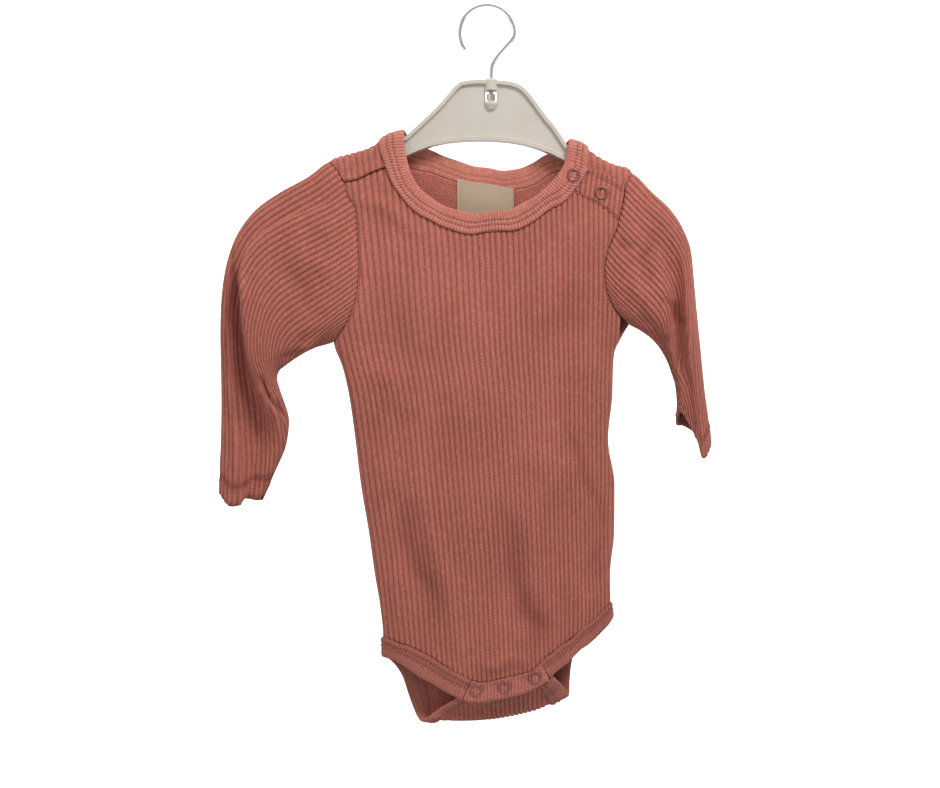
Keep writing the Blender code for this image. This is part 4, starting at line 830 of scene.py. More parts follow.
class BodysuitColours(bpy.types.PropertyGroup):
    """Colours of the cloth, thread, label and hanger."""

    rose: FloatVectorProperty(name="Rose", description="Colour of the rib knit", subtype="COLOR",
                              size=3, min=0, max=1, default=(0.42, 0.124, 0.090))
    # painted shade: the grooves and every place with a shade mark are darkened towards this colour
    groove: FloatVectorProperty(name="Groove", description="Colour in the grooves", subtype="COLOR",
                                size=3, min=0, max=1, default=(0.155, 0.038, 0.028))
    band: FloatVectorProperty(name="Band", description="Colour of the bands", subtype="COLOR",
                              size=3, min=0, max=1, default=(0.55, 0.182, 0.137))
    thread: FloatVectorProperty(name="Thread", description="Colour of the stitching",
                                subtype="COLOR", size=3, min=0, max=1, default=(0.36, 0.105, 0.078))
    tape: FloatVectorProperty(name="Label", description="Colour of the woven label",
                              subtype="COLOR", size=3, min=0, max=1, default=(0.50, 0.37, 0.26))
    enamel: FloatVectorProperty(name="Ring", description="Colour of the snap rings",
                                subtype="COLOR", size=3, min=0, max=1, default=(0.20, 0.055, 0.045))
    plastic: FloatVectorProperty(name="Hanger", description="Colour of the hanger's plastic",
                                 subtype="COLOR", size=3, min=0, max=1, default=(0.61, 0.555, 0.49))
    wire: FloatVectorProperty(name="Wire", description="Colour of the hook's plating",
                              subtype="COLOR", size=3, min=0, max=1, default=(0.72, 0.71, 0.69))


class BodysuitStage(bpy.types.PropertyGroup):
    """Camera and light."""

    across: FloatProperty(name="Camera across", description="Camera's place across the front",
                          default=-0.0121, unit="LENGTH", subtype="DISTANCE")
    height: FloatProperty(name="Camera height", description="Camera's height", default=-0.2756,
                          unit="LENGTH", subtype="DISTANCE")
    distance: FloatProperty(name="Camera distance", description="Camera's distance from the plane",
                            default=0.895, unit="LENGTH", subtype="DISTANCE")
    lens: FloatProperty(name="Lens", description="Focal length in millimetres", default=48.0)
    key: FloatProperty(name="Key light", description="Power of the main light", default=15.5,
                       unit="POWER")
    fill: FloatProperty(name="Fill light", description="Power of the fill light", default=4.0,
                        unit="POWER")


def sizes():
    return bpy.context.scene.bodysuit_sizes


def colours():
    return bpy.context.scene.bodysuit_colours


FINISHES = {}


def finish_for(key):
    """Each finish is made once, from the chosen colours."""
    if key not in FINISHES:
        c = colours()
        rose, groove, band = tuple(c.rose), tuple(c.groove), tuple(c.band)
        makers = {
            "knit": lambda: knit_finish("rib knit", rose, groove),
            "back": lambda: knit_finish("rib knit back", rose, groove),
            "band": lambda: knit_finish("band knit", band, groove, 0.4, 1.5, 0.4, 0.2),
            "thread": lambda: thread_finish("thread", tuple(c.thread)),
            "tape": lambda: tape_finish("label tape", tuple(c.tape)),
            "enamel": lambda: enamel_finish("ring enamel", tuple(c.enamel)),
        }
        FINISHES[key] = makers[key]()
    return FINISHES[key]


# Front and back

def dense(points, count=400):
    """A curve read through its points, as arrays of across and drop."""
    fine = through(points, count)
    return fine[:, 0], fine[:, 1]


def neck_outer(start, stop, count=400):
    """The neckband's outer edge on the front, as across and drop."""
    at = np.linspace(start, stop, count)
    knots = np.arange(len(NECK), dtype=float)
    return (read(at, knots, column(NECK, NECK_COLUMNS, "outer across")),
            read(at, knots, column(NECK, NECK_COLUMNS, "outer drop")))


def front_limits():
    """The front panel's outline as four readers: top and bottom drop over across, and left and
    right edge over drop."""
    seam_x, seam_d = dense(SHOULDER_SEAM)
    neck_x, neck_d = neck_outer(NECK_AT_SHOULDER, NECK_AT_PLACKET)
    plack_x, plack_d = dense(PLACKET_SEAM)
    top_x = np.concatenate([seam_x, neck_x, plack_x])
    top_d = np.concatenate([seam_d, neck_d, plack_d])
    order = np.argsort(top_x, kind="stable")
    top_x, top_d = top_x[order], top_d[order]
    left_x, left_d = dense([row[:2] for row in LEG_LEFT[FRONT_ROWS]][::-1])
    right_x, right_d = dense([row[:2] for row in LEG_RIGHT[FRONT_ROWS]])
    strip_x, strip_d = dense([row[:2] for row in STRIP])
    foot_x = np.concatenate([left_x, strip_x[1:-1], right_x])
    foot_d = np.concatenate([left_d, strip_d[1:-1], right_d])
    order = np.argsort(foot_x, kind="stable")
    foot_x, foot_d = foot_x[order], foot_d[order]
    arm_lx, arm_ld = dense(ARMHOLE_FRONT_LEFT)
    arm_rx, arm_rd = dense(ARMHOLE_FRONT_RIGHT)
    side_l = np.linspace(188.0, 400.0, 200)
    side_r = np.linspace(175.0, 400.0, 200)
    edge_ld = np.concatenate([arm_ld, side_l])
    edge_lx = np.concatenate([arm_lx, read_column(BODY, BODY_COLUMNS, "left", side_l)])
    edge_rd = np.concatenate([arm_rd, side_r])
    edge_rx = np.concatenate([arm_rx, read_column(BODY, BODY_COLUMNS, "right", side_r)])
    return ((top_x, top_d), (foot_x, foot_d), (edge_ld, edge_lx), (edge_rd, edge_rx))


def rib_across(rib, count, drop, lean=0.18):
    """Where a rib runs: between the two outermost ribs, a little wider spaced towards the left."""
    t = rib / count
    share = t + lean * t * (1 - t)
    left, right = sides_at(RIB_EDGES, RIB_EDGE_COLUMNS, drop)
    return left + (right - left) * share + 0.22 * waver(drop * 0.055, rib * 1.7, 0.4)


def front_net(rows):
    """The front panel's net, its columns lying on the ribs. Each column runs from the top edge to
    the bottom edge, whose drops are found by stepping towards them."""
    count = sizes().front_ribs
    rib = rib_stations(count)
    top, foot, edge_left, edge_right = front_limits()
    room = 1.6

    def held(drop):
        low = np.interp(drop, *edge_left)
        high = np.interp(drop, *edge_right)
        x = rib_across(rib, count, drop)
        first = rib_across(0 * rib, count, drop)
        last = rib_across(0 * rib + count, count, drop)
        gate_low, gate_high = low + room, high - room
        low_x = low + room * (x - first) / (gate_low - first)
        high_x = high - room * (last - x) / (last - gate_high)
        return np.where(x < gate_low, low_x, np.where(x > gate_high, high_x, x)), low, high

    upper = np.full(rib.shape, 85.0)
    lower = np.full(rib.shape, 405.0)
    for _ in range(60):
        upper = 0.5 * upper + 0.5 * (np.interp(held(upper)[0], *top) - 0.8)
        lower = 0.5 * lower + 0.5 * (np.interp(held(lower)[0], *foot) + 0.8)
    v = np.linspace(0, 1, rows)[:, None]
    drop = upper[None] * (1 - v) + lower[None] * v
    across, low, high = held(drop)
    near = np.minimum(across - low, high - across)
    return across, drop, rib[None] + 0 * drop, near


def seam_dip(near, width=1.5, depth=0.7):
    """How far cloth rolls in towards a seam, over its last few millimetres."""
    return -depth * np.exp(-(near / width) ** 2)


def fold_shade(soft):
    """Shade gathered in the troughs of folds: one tenth for each millimetre of depth, to a limit."""
    return np.clip(-0.1 * soft, 0.0, 0.4)


def build_front():
    """The front panel: ribs and folds raised on the draped surface."""
    s = sizes()
    across, drop, rib, near = front_net(140)
    along = girth(across, drop, "front")
    points, normals = draped(across, along, 1.0)
    soft = folds(FRONT_FOLDS, across, drop) * ease(near / 10.0)
    soft += 0.35 * waver(across * 0.06, drop * 0.045, 1.3) * ease(near / 14.0)
    above = drop < 187.0
    dip = seam_dip(near) * above
    from_top = drop - drop[:1]
    dip = dip - 0.9 * np.exp(-(from_top / 2.6) ** 2) * (across < -70.0)
    rise = rib_shape(rib, s.groove / MM) * ease((near - 0.3) / 2.4) + soft + dip
    outer = points + normals * rise[..., None]
    inner = points + normals * (np.minimum(soft + dip, soft) - s.wall / MM)[..., None]
    marks = {"rib": rib, "run": -along,
             "shade": 0.18 * np.exp(-(near / 0.8) ** 2) * above + fold_shade(soft)}
    mesh = shell_mesh("cloth_front", outer, inner, marks)
    made = add_piece("cloth_front", mesh, finish_for("knit"), ["front"])


def neck_edge(which, stations):
    """One edge of the neckband in the flat layout, at the given stations."""
    across = column(NECK, NECK_COLUMNS, which + " across")
    drop = column(NECK, NECK_COLUMNS, which + " drop")
    flat = np.array([(x, float(girth(x, d, row[-1]))) for x, d, row in zip(across, drop, NECK)])
    knots = np.arange(len(NECK), dtype=float)
    return np.stack([read(stations, knots, flat[:, 0]), read(stations, knots, flat[:, 1])], 1)


def leg_edge(table, which, rows, steps):
    """One edge of a leg band in the flat layout, for a run of the table's rows."""
    across = column(table, LEG_COLUMNS, which + " across")[rows]
    drop = column(table, LEG_COLUMNS, which + " drop")[rows]
    sides = [row[-1] for row in table][rows]
    side = "back" if "back" in sides else "front"
    flat = np.array([(x, float(girth(x, d, side if s == "side" else s)))
                     for x, d, s in zip(across, drop, sides)])
    knots = np.arange(len(flat), dtype=float)
    at = np.linspace(0, knots[-1], steps + 1)
    return np.stack([read(at, knots, flat[:, 0]), read(at, knots, flat[:, 1])], 1)


def even_cut(flat, count, share=1.0):
    """A run in the flat layout cut evenly along its length, up to a share of it."""
    along = arc_length(flat)
    return cut_at(np.linspace(0, along[-1] * share, count), along, flat)


def armhole_edges(which, steps):
    """An armhole's three runs in the flat layout: over the top, down the front and down the back.
    The first and the last start on the crest."""
    top, front, back = ARMHOLES[which]
    runs = [flat_run(top, "front", 121), flat_run(front, "front", steps),
            flat_run(back, "back", steps)]
    runs[0][0, 1] = 0.0
    runs[2][0, 1] = 0.0
    return runs


def build_back():
    """The back panel, from the shoulder edges over the crest and down to the crotch tab's end."""
    s = sizes()
    top = np.vstack([flat_run(SHOULDER_SEAM, "front", 30)[:-1],
                     neck_edge("outer", np.linspace(NECK_AT_SHOULDER, NECK_END, 190))[:-1],
                     flat_run(LAP_EDGE, "front", 42)])
    over_rows, arm_rows = 12, 46
    edges = []
    for which, table, share in (("left", LEG_LEFT, 1.0), ("right", LEG_RIGHT, LAP_SHARE)):
        over, _, back = armhole_edges(which, 121)
        carried = even_cut(over, over_rows, share)
        drop = np.linspace(*SIDE_SEAMS[which], 64)
        side = read_column(BODY, BODY_COLUMNS, which, drop)
        seam = np.stack([side, girth(side, drop, "back")], 1)
        leg = leg_edge(table, "seam", BACK_ROWS, 44)
        edges.append(np.vstack([carried[::-1][:-1], even_cut(back, arm_rows)[:-1], seam[:-1],
                                leg]))
    left, right = edges
    top[-1] = right[0]
    bottom = np.linspace(left[-1], right[-1], len(top))
    net = coons(top, bottom, left, right)
    across, along = net[..., 0], net[..., 1]
    points, normals = draped(across, along)
    drop = -points[..., 2] - HANGER_TOP
    start, stop = sides_at(RIB_EDGES, RIB_EDGE_COLUMNS, drop)
    rib = s.back_ribs * (across - start) / (stop - start)
    u = np.linspace(0, 1, across.shape[1])[None]
    v = np.arange(across.shape[0])[:, None]
    width = across[:, -1:] - across[:, :1]
    near = np.minimum(u, 1 - u) * width
    shown = ease(near / 10.0) * ease((along - 20.0) / 20.0) * ease((440.0 - along) / 30.0)
    soft = (folds(BACK_FOLDS, across, drop) + 0.35 * waver(across * 0.06, drop * 0.045, 4.1)) * shown
    at_armhole = v < over_rows + arm_rows - 2
    dip = seam_dip(near) * at_armhole
    from_seam = along - along[:1]
    dip = dip + 0.8 * ease(1 - from_seam / 7.0) * (along[:1] < -3.0) * (across < -60.0)
    rise = rib_shape(rib, 1.15 * s.groove / MM) * ease((near - 0.3) / 2.4) + soft + dip
    outer = points + normals * rise[..., None]
    inner = points + normals * (soft + dip - s.wall / MM)[..., None]
    marks = {"rib": rib, "run": along, "shade": 0.18 * np.exp(-(near / 0.8) ** 2) * at_armhole}
    mesh = shell_mesh("cloth_back", outer, inner, marks)
    made = add_piece("cloth_back", mesh, finish_for("back"), ["back"])


# Sleeves

def sleeve_face(table, hem, along, face, count):
    """One face of a section of the sleeve, from its outer fold to its inner fold: on the front a
    smooth profile through flap, valley and ridge, on the back depth x (1 - |2u-1|^p)^(1/2)."""
    get = {name: float(read_column(table, SLEEVE_COLUMNS, name, along)) for name in SLEEVE_COLUMNS}
    u = (1 - np.cos(np.linspace(0, math.pi, count))) / 2
    if face == "front":
        flap_at, ridge_at = get["flap at"], get["ridge at"]
        flap, valley, ridge = get["flap"], get["valley"], get["ridge"]
        places = np.array([0.0, 0.1 * flap_at, 0.5 * flap_at, flap_at, flap_at + 0.05,
                           (flap_at + ridge_at) / 2, ridge_at - 0.05, ridge_at, (ridge_at + 1) / 2,
                           0.94, 0.99, 1.0])
        places = np.maximum.accumulate(places) + np.arange(len(places)) * 1e-3
        stands = np.array([0.0, 0.35 * flap, 0.85 * flap, flap, 0.5 * (flap + valley), valley,
                           0.2 * valley + 0.8 * ridge, ridge, 0.9 * ridge, 0.5 * ridge,
                           0.18 * ridge, 0.0])
        out = -read(u, places / places[-1], stands)
    else:
        out = get["back"] * np.sqrt(np.maximum(1 - np.abs(2 * u - 1) ** SIDE_POWER, 0.0))
    droop = ease((along - 0.6) / 0.4) * read_column(hem, HEM_COLUMNS, face + " droop", u)
    across = get["outer across"] * (1 - u) + get["inner across"] * u
    drop = get["outer drop"] * (1 - u) + get["inner drop"] * u + droop
    return np.stack([across, out, -HANGER_TOP - drop], 1)


def armhole_runs(which, count):
    """The armhole's front and back runs, crest to armpit, in the flat layout."""
    over, front, back = armhole_edges(which, 241)
    return even_cut(np.vstack([over[:-1], front]), count), even_cut(back, count)


def resample(ring, normals, stations, room=1.5):
    """A section's points and normals at stations given by arc length, with those past its end
    packed into its last bit."""
    arc = arc_length(ring)
    gate = arc[-1] - room
    last = max(stations[-1], arc[-1] + 0.5)
    at = np.where(stations > gate, arc[-1] - room * (last - stations) / (last - gate), stations)
    turn = cut_at(at, arc, normals)
    turn /= np.linalg.norm(turn, axis=1, keepdims=True)
    return cut_at(at, arc, ring), turn, arc[-1] - at


def sleeve_rings(which, table, hem, count):
    """A sleeve's sections from the armhole to the cuff. Near the armhole each is moved by what the
    table's first section and the armhole itself differ by, and the first is tucked in at the
    armpit."""
    seams = [place(run[:, 0], run[:, 1], SLEEVE_LIFT) for run in armhole_runs(which, count)]
    owns = [sleeve_face(table, hem, 0.0, face, count) for face in ("front", "back")]
    rings = []
    for along in np.linspace(0, 1, 110) ** 0.97:
        felt = 1 - ease(along / ARMHOLE_FADE)
        faces = [sleeve_face(table, hem, along, face, count) + (seam - own) * felt
                 for face, seam, own in zip(("front", "back"), seams, owns)]
        rings.append(np.vstack([faces[0], faces[1][::-1][1:-1]]))
    rings = np.array(rings)
    rings[0, count - 1, 1] = 0.0
    armpit = rings[0, count - 1].copy()
    tuck = np.exp(-(np.linalg.norm(rings[0] - armpit, axis=1) / 7.0) ** 2)
    rings[0, :, 0] += (ARMPIT_TUCK if which == "left" else -ARMPIT_TUCK) * tuck
    rings[0, :, 2] += 0.5 * tuck
    for _ in range(2):
        rings[1:-1] = (rings[:-2] + 2 * rings[1:-1] + rings[2:]) / 4
    return rings


def build_sleeve(which):
    """A sleeve: its sections cut along its ribs by arc length from the outer fold on both faces,
    with folds, hem and grooves raised along the normals."""
    s = sizes()
    left = which == "left"
    table, hem = (SLEEVE_LEFT, HEM_LEFT) if left else (SLEEVE_RIGHT, HEM_RIGHT)
    fold_table = LEFT_SLEEVE_FOLDS if left else RIGHT_SLEEVE_FOLDS
    count = 180
    rings = sleeve_rings(which, table, hem, count)
    normals = net_normals(rings, True)
    if normals[60, count // 2, 1] > 0:
        normals = -normals
    pitch = s.sleeve_rib / MM
    girths = np.linalg.norm(np.diff(rings[:, :count], axis=1), axis=2).sum(1)
    ribs_front = int(girths.max() / pitch) + 1
    back_rings = np.concatenate([rings[:, :1], rings[:, count - 1:][:, ::-1]], 1)
    back_normals = np.concatenate([normals[:, :1], normals[:, count - 1:][:, ::-1]], 1)
    back_girths = np.linalg.norm(np.diff(back_rings, axis=1), axis=2).sum(1)
    ribs_back = int(back_girths.max() / pitch) + 1
    st_front = rib_stations(ribs_front)
    st_back = rib_stations(ribs_back)
    down = arc_length(rings[:, count // 3])
    points, turns, ribs, fades = [], [], [], []
    for k in range(len(rings)):
        p, n, rest = resample(rings[k, :count], normals[k, :count], st_front * pitch)
        q, m, rest_back = resample(back_rings[k], back_normals[k], st_back * pitch)
        points.append(np.vstack([p, q[::-1][1:-1]]))
        turns.append(np.vstack([n, m[::-1][1:-1]]))
        ribs.append(np.concatenate([st_front, -st_back[::-1][1:-1]]))
        fades.append(np.concatenate([rest, rest_back[::-1][1:-1]]))
    points, turns = np.array(points), np.array(turns)
    ribs, fades = np.array(ribs), np.array(fades)
    run = np.broadcast_to(down[:, None], ribs.shape)
    drop = -points[..., 2] - HANGER_TOP
    on_front = ease((-points[..., 1] - 1.0) / 4.0) * ease(run / 10.0)
    soft = folds(fold_table, points[..., 0], drop) * on_front
    soft = soft + 0.4 * waver(ribs * 0.22, run * 0.05, 2.6) * ease(run / 20.0)
    to_cuff = down[-1] - run
    hem_top = to_cuff[int(np.argmin(np.abs(to_cuff[:, 0] - HEM_LINE))), 0]
    crease = np.exp(-((to_cuff - hem_top) / 1.1) ** 2)
    hemmed = 0.5 * ease((hem_top + 0.6 - to_cuff) / 1.2) - 0.4 * crease
    dip = seam_dip(run, 1.8, 0.9)
    rise = rib_shape(ribs, s.groove / MM) * ease(fades / 2.0) + soft + dip + hemmed
    outer = points + turns * rise[..., None]
    inner = points + turns * (soft + dip - s.wall / MM)[..., None]
    shade = 0.18 * np.exp(-(run / 0.8) ** 2) + 0.7 * crease + fold_shade(soft)
    name = "cloth_sleeve_" + which
    marks = {"rib": ribs, "run": run, "shade": shade}
    mesh = shell_mesh(name, outer, inner, marks, True)
    made = add_piece(name, mesh, finish_for("knit"), ["sleeve_" + which])
    return outer, turns, to_cuff


# Bands

def band_profile(v, wall):
    """Thickness and height across a bound band, 0 at its free edge and 1 at its seam: rounded at
    both edges as (1 - |2v-1|^6)^(1/2), with two shallow rows pressed in by the cover stitch."""
    round_edge = np.sqrt(np.maximum(1 - np.abs(2 * v - 1) ** 6, 0.0))
    pressed = sum(0.55 * np.exp(-((v - row) / 0.045) ** 2) for row in BAND_STITCHES)
    return wall * (0.25 + 0.75 * round_edge), 0.35 * round_edge - pressed


def band_stations(wide):
    """Shares of a band's width, closer at its edges: half cosine spacing, half even."""
    return 0.5 * (1 - np.cos(np.linspace(0, math.pi, wide))) / 2 + 0.5 * np.linspace(0, 1, wide)


def cross_groove(rib, depth):
    """Grooves between a band's fine ribs: depth x ((1 + cos(2 pi rib)) / 2)^2."""
    return -depth * (0.5 + 0.5 * np.cos(2 * math.pi * rib)) ** 2


def band_net(free, seam, v):
    """A band's net in the flat layout, from its free edge to its seam, as across and along. It is
    kept between the body's side folds."""
    net = free[:, None] * (1 - v[None, :, None]) + seam[:, None] * v[None, :, None]
    drop = -place(net[..., 0], net[..., 1])[..., 2] - HANGER_TOP
    return np.clip(net[..., 0], *sides_at(BODY, BODY_COLUMNS, drop)), net[..., 1]


def band_piece(name, points, normals, v, shade, outward, depth, sway, node):
    """A band raised on its net, with fine cross ribs counted along its middle. Outward is how far it
    stands off the cloth, and sway is the height, rate and seed of its unevenness."""
    s = sizes()
    run = arc_length(points[:, len(v) // 2])
    rib = run[:, None] / (s.band_rib / MM) + 0 * v[None]
    wall, height = band_profile(v[None], s.band_wall / MM)
    groove = cross_groove(rib, depth) * (1 - np.abs(2 * v[None] - 1) ** 8)
    wave = sway[0] * waver(run[:, None] * sway[1], v[None] * 2.0, sway[2])
    rise = outward + height + groove + wave
    outer = points + normals * (rise + 0.5 * wall)[..., None]
    inner = points + normals * (outward + wave - 0.5 * wall)[..., None]
    marks = {"rib": rib, "run": v[None] * BAND_WIDTH + 0 * rib, "shade": shade[None] + 0 * rib}
    mesh = shell_mesh(name, outer, inner, marks)
    return add_piece(name, mesh, finish_for("band"), [node]), outer


def resample_pair(first, second, count):
    """Two edges cut at the same places, evenly along their middle line."""
    middle = (first + second) / 2
    along = arc_length(middle)
    wanted = np.linspace(0, along[-1], count)
    return cut_at(wanted, along, first), cut_at(wanted, along, second)


THREADS = []


def stitch_row(line, normals, lift=0.28, radius=0.3):
    """Notes a row of stitches along a line of points for the stitching to be made from."""
    THREADS.append((line, normals, lift, radius))


def at_band(outer, normals, v, share):
    """The line on a band's outer skin at a share of its width."""
    j = int(np.argmin(np.abs(v - share)))
    return outer[:, j], normals[:, j]


def build_neckband():
    """The neckband: one strip from the placket round the neck, its front end lifted on the lap."""
    stations = np.linspace(0.0, NECK_END, 1400)
    free, seam = resample_pair(neck_edge("inner", stations), neck_edge("outer", stations), 1040)
    on_top = ease((0.44 - np.linspace(0, 1, 1040)) / 0.16)[:, None]
    v = band_stations(27)
    points, normals = draped(*band_net(free, seam, v), on_top)
    rows = sum(np.exp(-((v - row) / 0.04) ** 2) for row in BAND_STITCHES)
    shade = 0.4 * np.exp(-((1 - v) / 0.06) ** 2) + 0.42 * rows
    made, skin = band_piece("cloth_neckband", points, normals, v, shade, 0.35, 0.28,
                            (0.3, 0.13, 5.2), "neckband")
    for share in BAND_STITCHES:
        stitch_row(*at_band(skin, normals, v, share))


def build_leg_bands():
    """The two leg bands, from the snap strip round the side and the back to the tab."""
    v = band_stations(15)
    rows = np.exp(-((v - 0.62) / 0.05) ** 2) + np.exp(-((v - 0.80) / 0.05) ** 2)
    shade = 0.42 + 0.3 * np.exp(-((1 - v) / 0.06) ** 2) + 0.3 * rows
    for which, table, length in (("left", LEG_LEFT, 0.205), ("right", LEG_RIGHT, 0.185)):
        halves = []
        for part, steps in ((FRONT_ROWS, 190), (BACK_ROWS, 330)):
            free, seam = [leg_edge(table, edge, part, steps) for edge in ("free", "seam")]
            halves.append(draped(*band_net(free, seam, v)))
        (front, front_normals), (back, back_normals) = halves
        points = np.vstack([front[:-1], (front[-1:] + back[:1]) / 2, back[1:]])
        normals = np.vstack([front_normals, back_normals[1:]])
        made, skin = band_piece("cloth_leg_" + which, points, normals, v, shade, 0.3, 0.22,
                                (0.45, 0.16, 5.2 + len(which)), "leg_band_" + which)
        for share in (0.62, 0.84):
            stitch_row(*at_band(skin, normals, v, share))


def build_strip():
    """The snap strip across the crotch, with vertical ribs like the panel above it."""
    s = sizes()
    upper = flat_run([row[:2] for row in STRIP], "front", 220)
    lower = flat_run([row[2:] for row in STRIP], "front", 220)
    for edge in (upper, lower):
        edge[-1] += 0.6 * (edge[-1] - edge[-12])
    v = band_stations(15)
    net = upper[None] * (1 - v[:, None, None]) + lower[None] * v[:, None, None]
    points, normals = draped(net[..., 0], net[..., 1])
    run = net[..., 0]
    rib = run / 2.4
    wall, height = band_profile(1 - v[:, None], s.band_wall / MM)
    groove = cross_groove(rib, 0.22)
    wave = 0.4 * waver(run * 0.13, v[:, None] * 2.0, 7.7)
    outer = points + normals * (0.35 + height + groove + wave + 0.5 * wall)[..., None]
    inner = points + normals * (0.35 + wave - 0.5 * wall)[..., None]
    marks = {"rib": rib, "run": v[:, None] * BAND_WIDTH + 0 * rib,
             "shade": 0.22 + 0.35 * np.exp(-(v[:, None] / 0.06) ** 2) + 0 * rib}
    mesh = shell_mesh("cloth_strip", outer, inner, marks)
    made = add_piece("cloth_strip", mesh, finish_for("band"), ["crotch_strip"])
    for row in (2, 12):
        stitch_row(outer[row], normals[row])


def build_placket():
    """The shoulder placket between the neckband's end and the armhole, its free edge turned."""
    s = sizes()
    count = 150
    left = neck_edge("outer", np.linspace(0.0, NECK_AT_PLACKET, 60))
    top = flat_run(PLACKET_TOP, "front", count)
    top[0] = left[0]
    foot = flat_run(PLACKET_SEAM, "front", count)
    right = flat_run(PLACKET_END, "front", 60)
    left = even_cut(left, 60)
    net = coons(top, foot, left, right)
    points, normals = draped(net[..., 0], net[..., 1], 1.0)
    v = np.linspace(0, 1, 60)[:, None]
    u = np.linspace(0, 1, count)[None]
    rib = net[..., 0] / 3.4 + 0.9 * v
    hem = 0.45 * ease((0.16 - v) / 0.1) - 0.3 * np.exp(-((v - 0.2) / 0.04) ** 2)
    soft = 0.4 * waver(net[..., 0] * 0.14, v * 3.0, 2.2) + hem - 0.5 * np.exp(-((1 - v) / 0.05) ** 2)
    rise = rib_shape(rib, 0.8 * s.groove / MM) * ease((1 - v) / 0.06) + soft
    rise = rise - 0.7 * np.exp(-((1 - u) / 0.05) ** 2)
    outer = points + normals * (rise + 0.5)[..., None]
    inner = points + normals * (soft - 0.7)[..., None]
    shade = 0.4 * np.exp(-((1 - v) / 0.04) ** 2) + 0.3 * np.exp(-((v - 0.2) / 0.03) ** 2) + 0 * u
    marks = {"rib": rib, "run": v * 24.0 + 0 * u, "shade": shade}
    mesh = shell_mesh("cloth_placket", outer, inner, marks)
    made = add_piece("cloth_placket", mesh, finish_for("knit"), ["shoulder_placket"])
    for row in (12, 54):
        stitch_row(outer[row], normals[row], 0.24, 0.26)
    for k in (4, 11):
        stitch_row(outer[:, k], normals[:, k], 0.24, 0.26)


def build_label():
    """The bare woven label, hanging from the neckband inside the back, bowed a little."""
    top = np.linspace((-21.4, 69.2), (19.3, 76.0), 90)
    foot = top + np.array([0.0, 29.4])
    net = np.stack([flat_run(top * (1 - t) + foot * t, "back", 90, False)
                    for t in np.linspace(0, 1, 60)])
    points, normals = draped(net[..., 0], net[..., 1])
    v = np.linspace(0, 1, 60)[:, None]
    u = np.linspace(-1, 1, 90)[None]
    bow = 0.9 * ease(v / 0.5) * (1 - u ** 2) + 0.35 * np.sin(2.2 * u + 0.7) * v
    away = 1.3 + bow
    edge = 0.35 * (np.exp(-((1 - np.abs(u)) / 0.03) ** 2) + 0 * v)
    face = points - normals * (away + 0.45 + edge)[..., None]
    rear = points - normals * away[..., None]
    marks = {"rib": net[..., 0], "run": v * 27.0 + 0 * u,
             "shade": 0.5 * np.exp(-((1 - np.abs(u)) / 0.02) ** 2) + 0 * v}
    mesh = shell_mesh("cloth_label", rear, face, marks)
    made = add_piece("cloth_label", mesh, finish_for("tape"), ["neck_label"])


# Snaps, stitching and hanger

def ring_frame(spot, lift):
    """The centre, outward normal and two side directions of a snap's place on the cloth."""
    across, along = spot[0], float(girth(spot[0], spot[1], "front"))
    centre, normal = place(across, along, lift), facing(across, along, lift)
    side = np.cross(normal, (0.0, 0.0, 1.0))
    side /= np.linalg.norm(side)
    return centre, normal, side, np.cross(side, normal)


def build_ring(name, spot, lift, stand, node):
    """A snap's prong ring: a rounded profile turned about the cloth's normal."""
    centre, normal, side, up = ring_frame(spot, lift)
    bend = np.linspace(-0.35 * math.pi, 1.35 * math.pi, 15)
    middle, half = 3.95, 0.95
    radius = middle + half * np.cos(bend)
    height = stand + 0.75 * np.sin(bend)
    turn = np.linspace(0, 2 * math.pi, 65)[:-1]
    ray = side[None] * np.cos(turn)[:, None] + up[None] * np.sin(turn)[:, None]
    points = (centre + ray[:, None] * radius[None, :, None] + normal * height[None, :, None])
    index = np.arange(points.shape[0] * points.shape[1]).reshape(points.shape[:2])
    across = np.roll(index, -1, 0)
    along, both = np.roll(index, -1, 1), np.roll(across, -1, 1)
    faces = np.stack([index, along, both, across], -1).reshape(-1, 4)
    marks = {"rib": np.broadcast_to((np.sin(bend) + 1) / 2, index.shape).ravel()}
    mesh = quad_mesh(name, points.reshape(-1, 3), faces, marks)
    add_piece(name, mesh, finish_for("enamel"), [node])


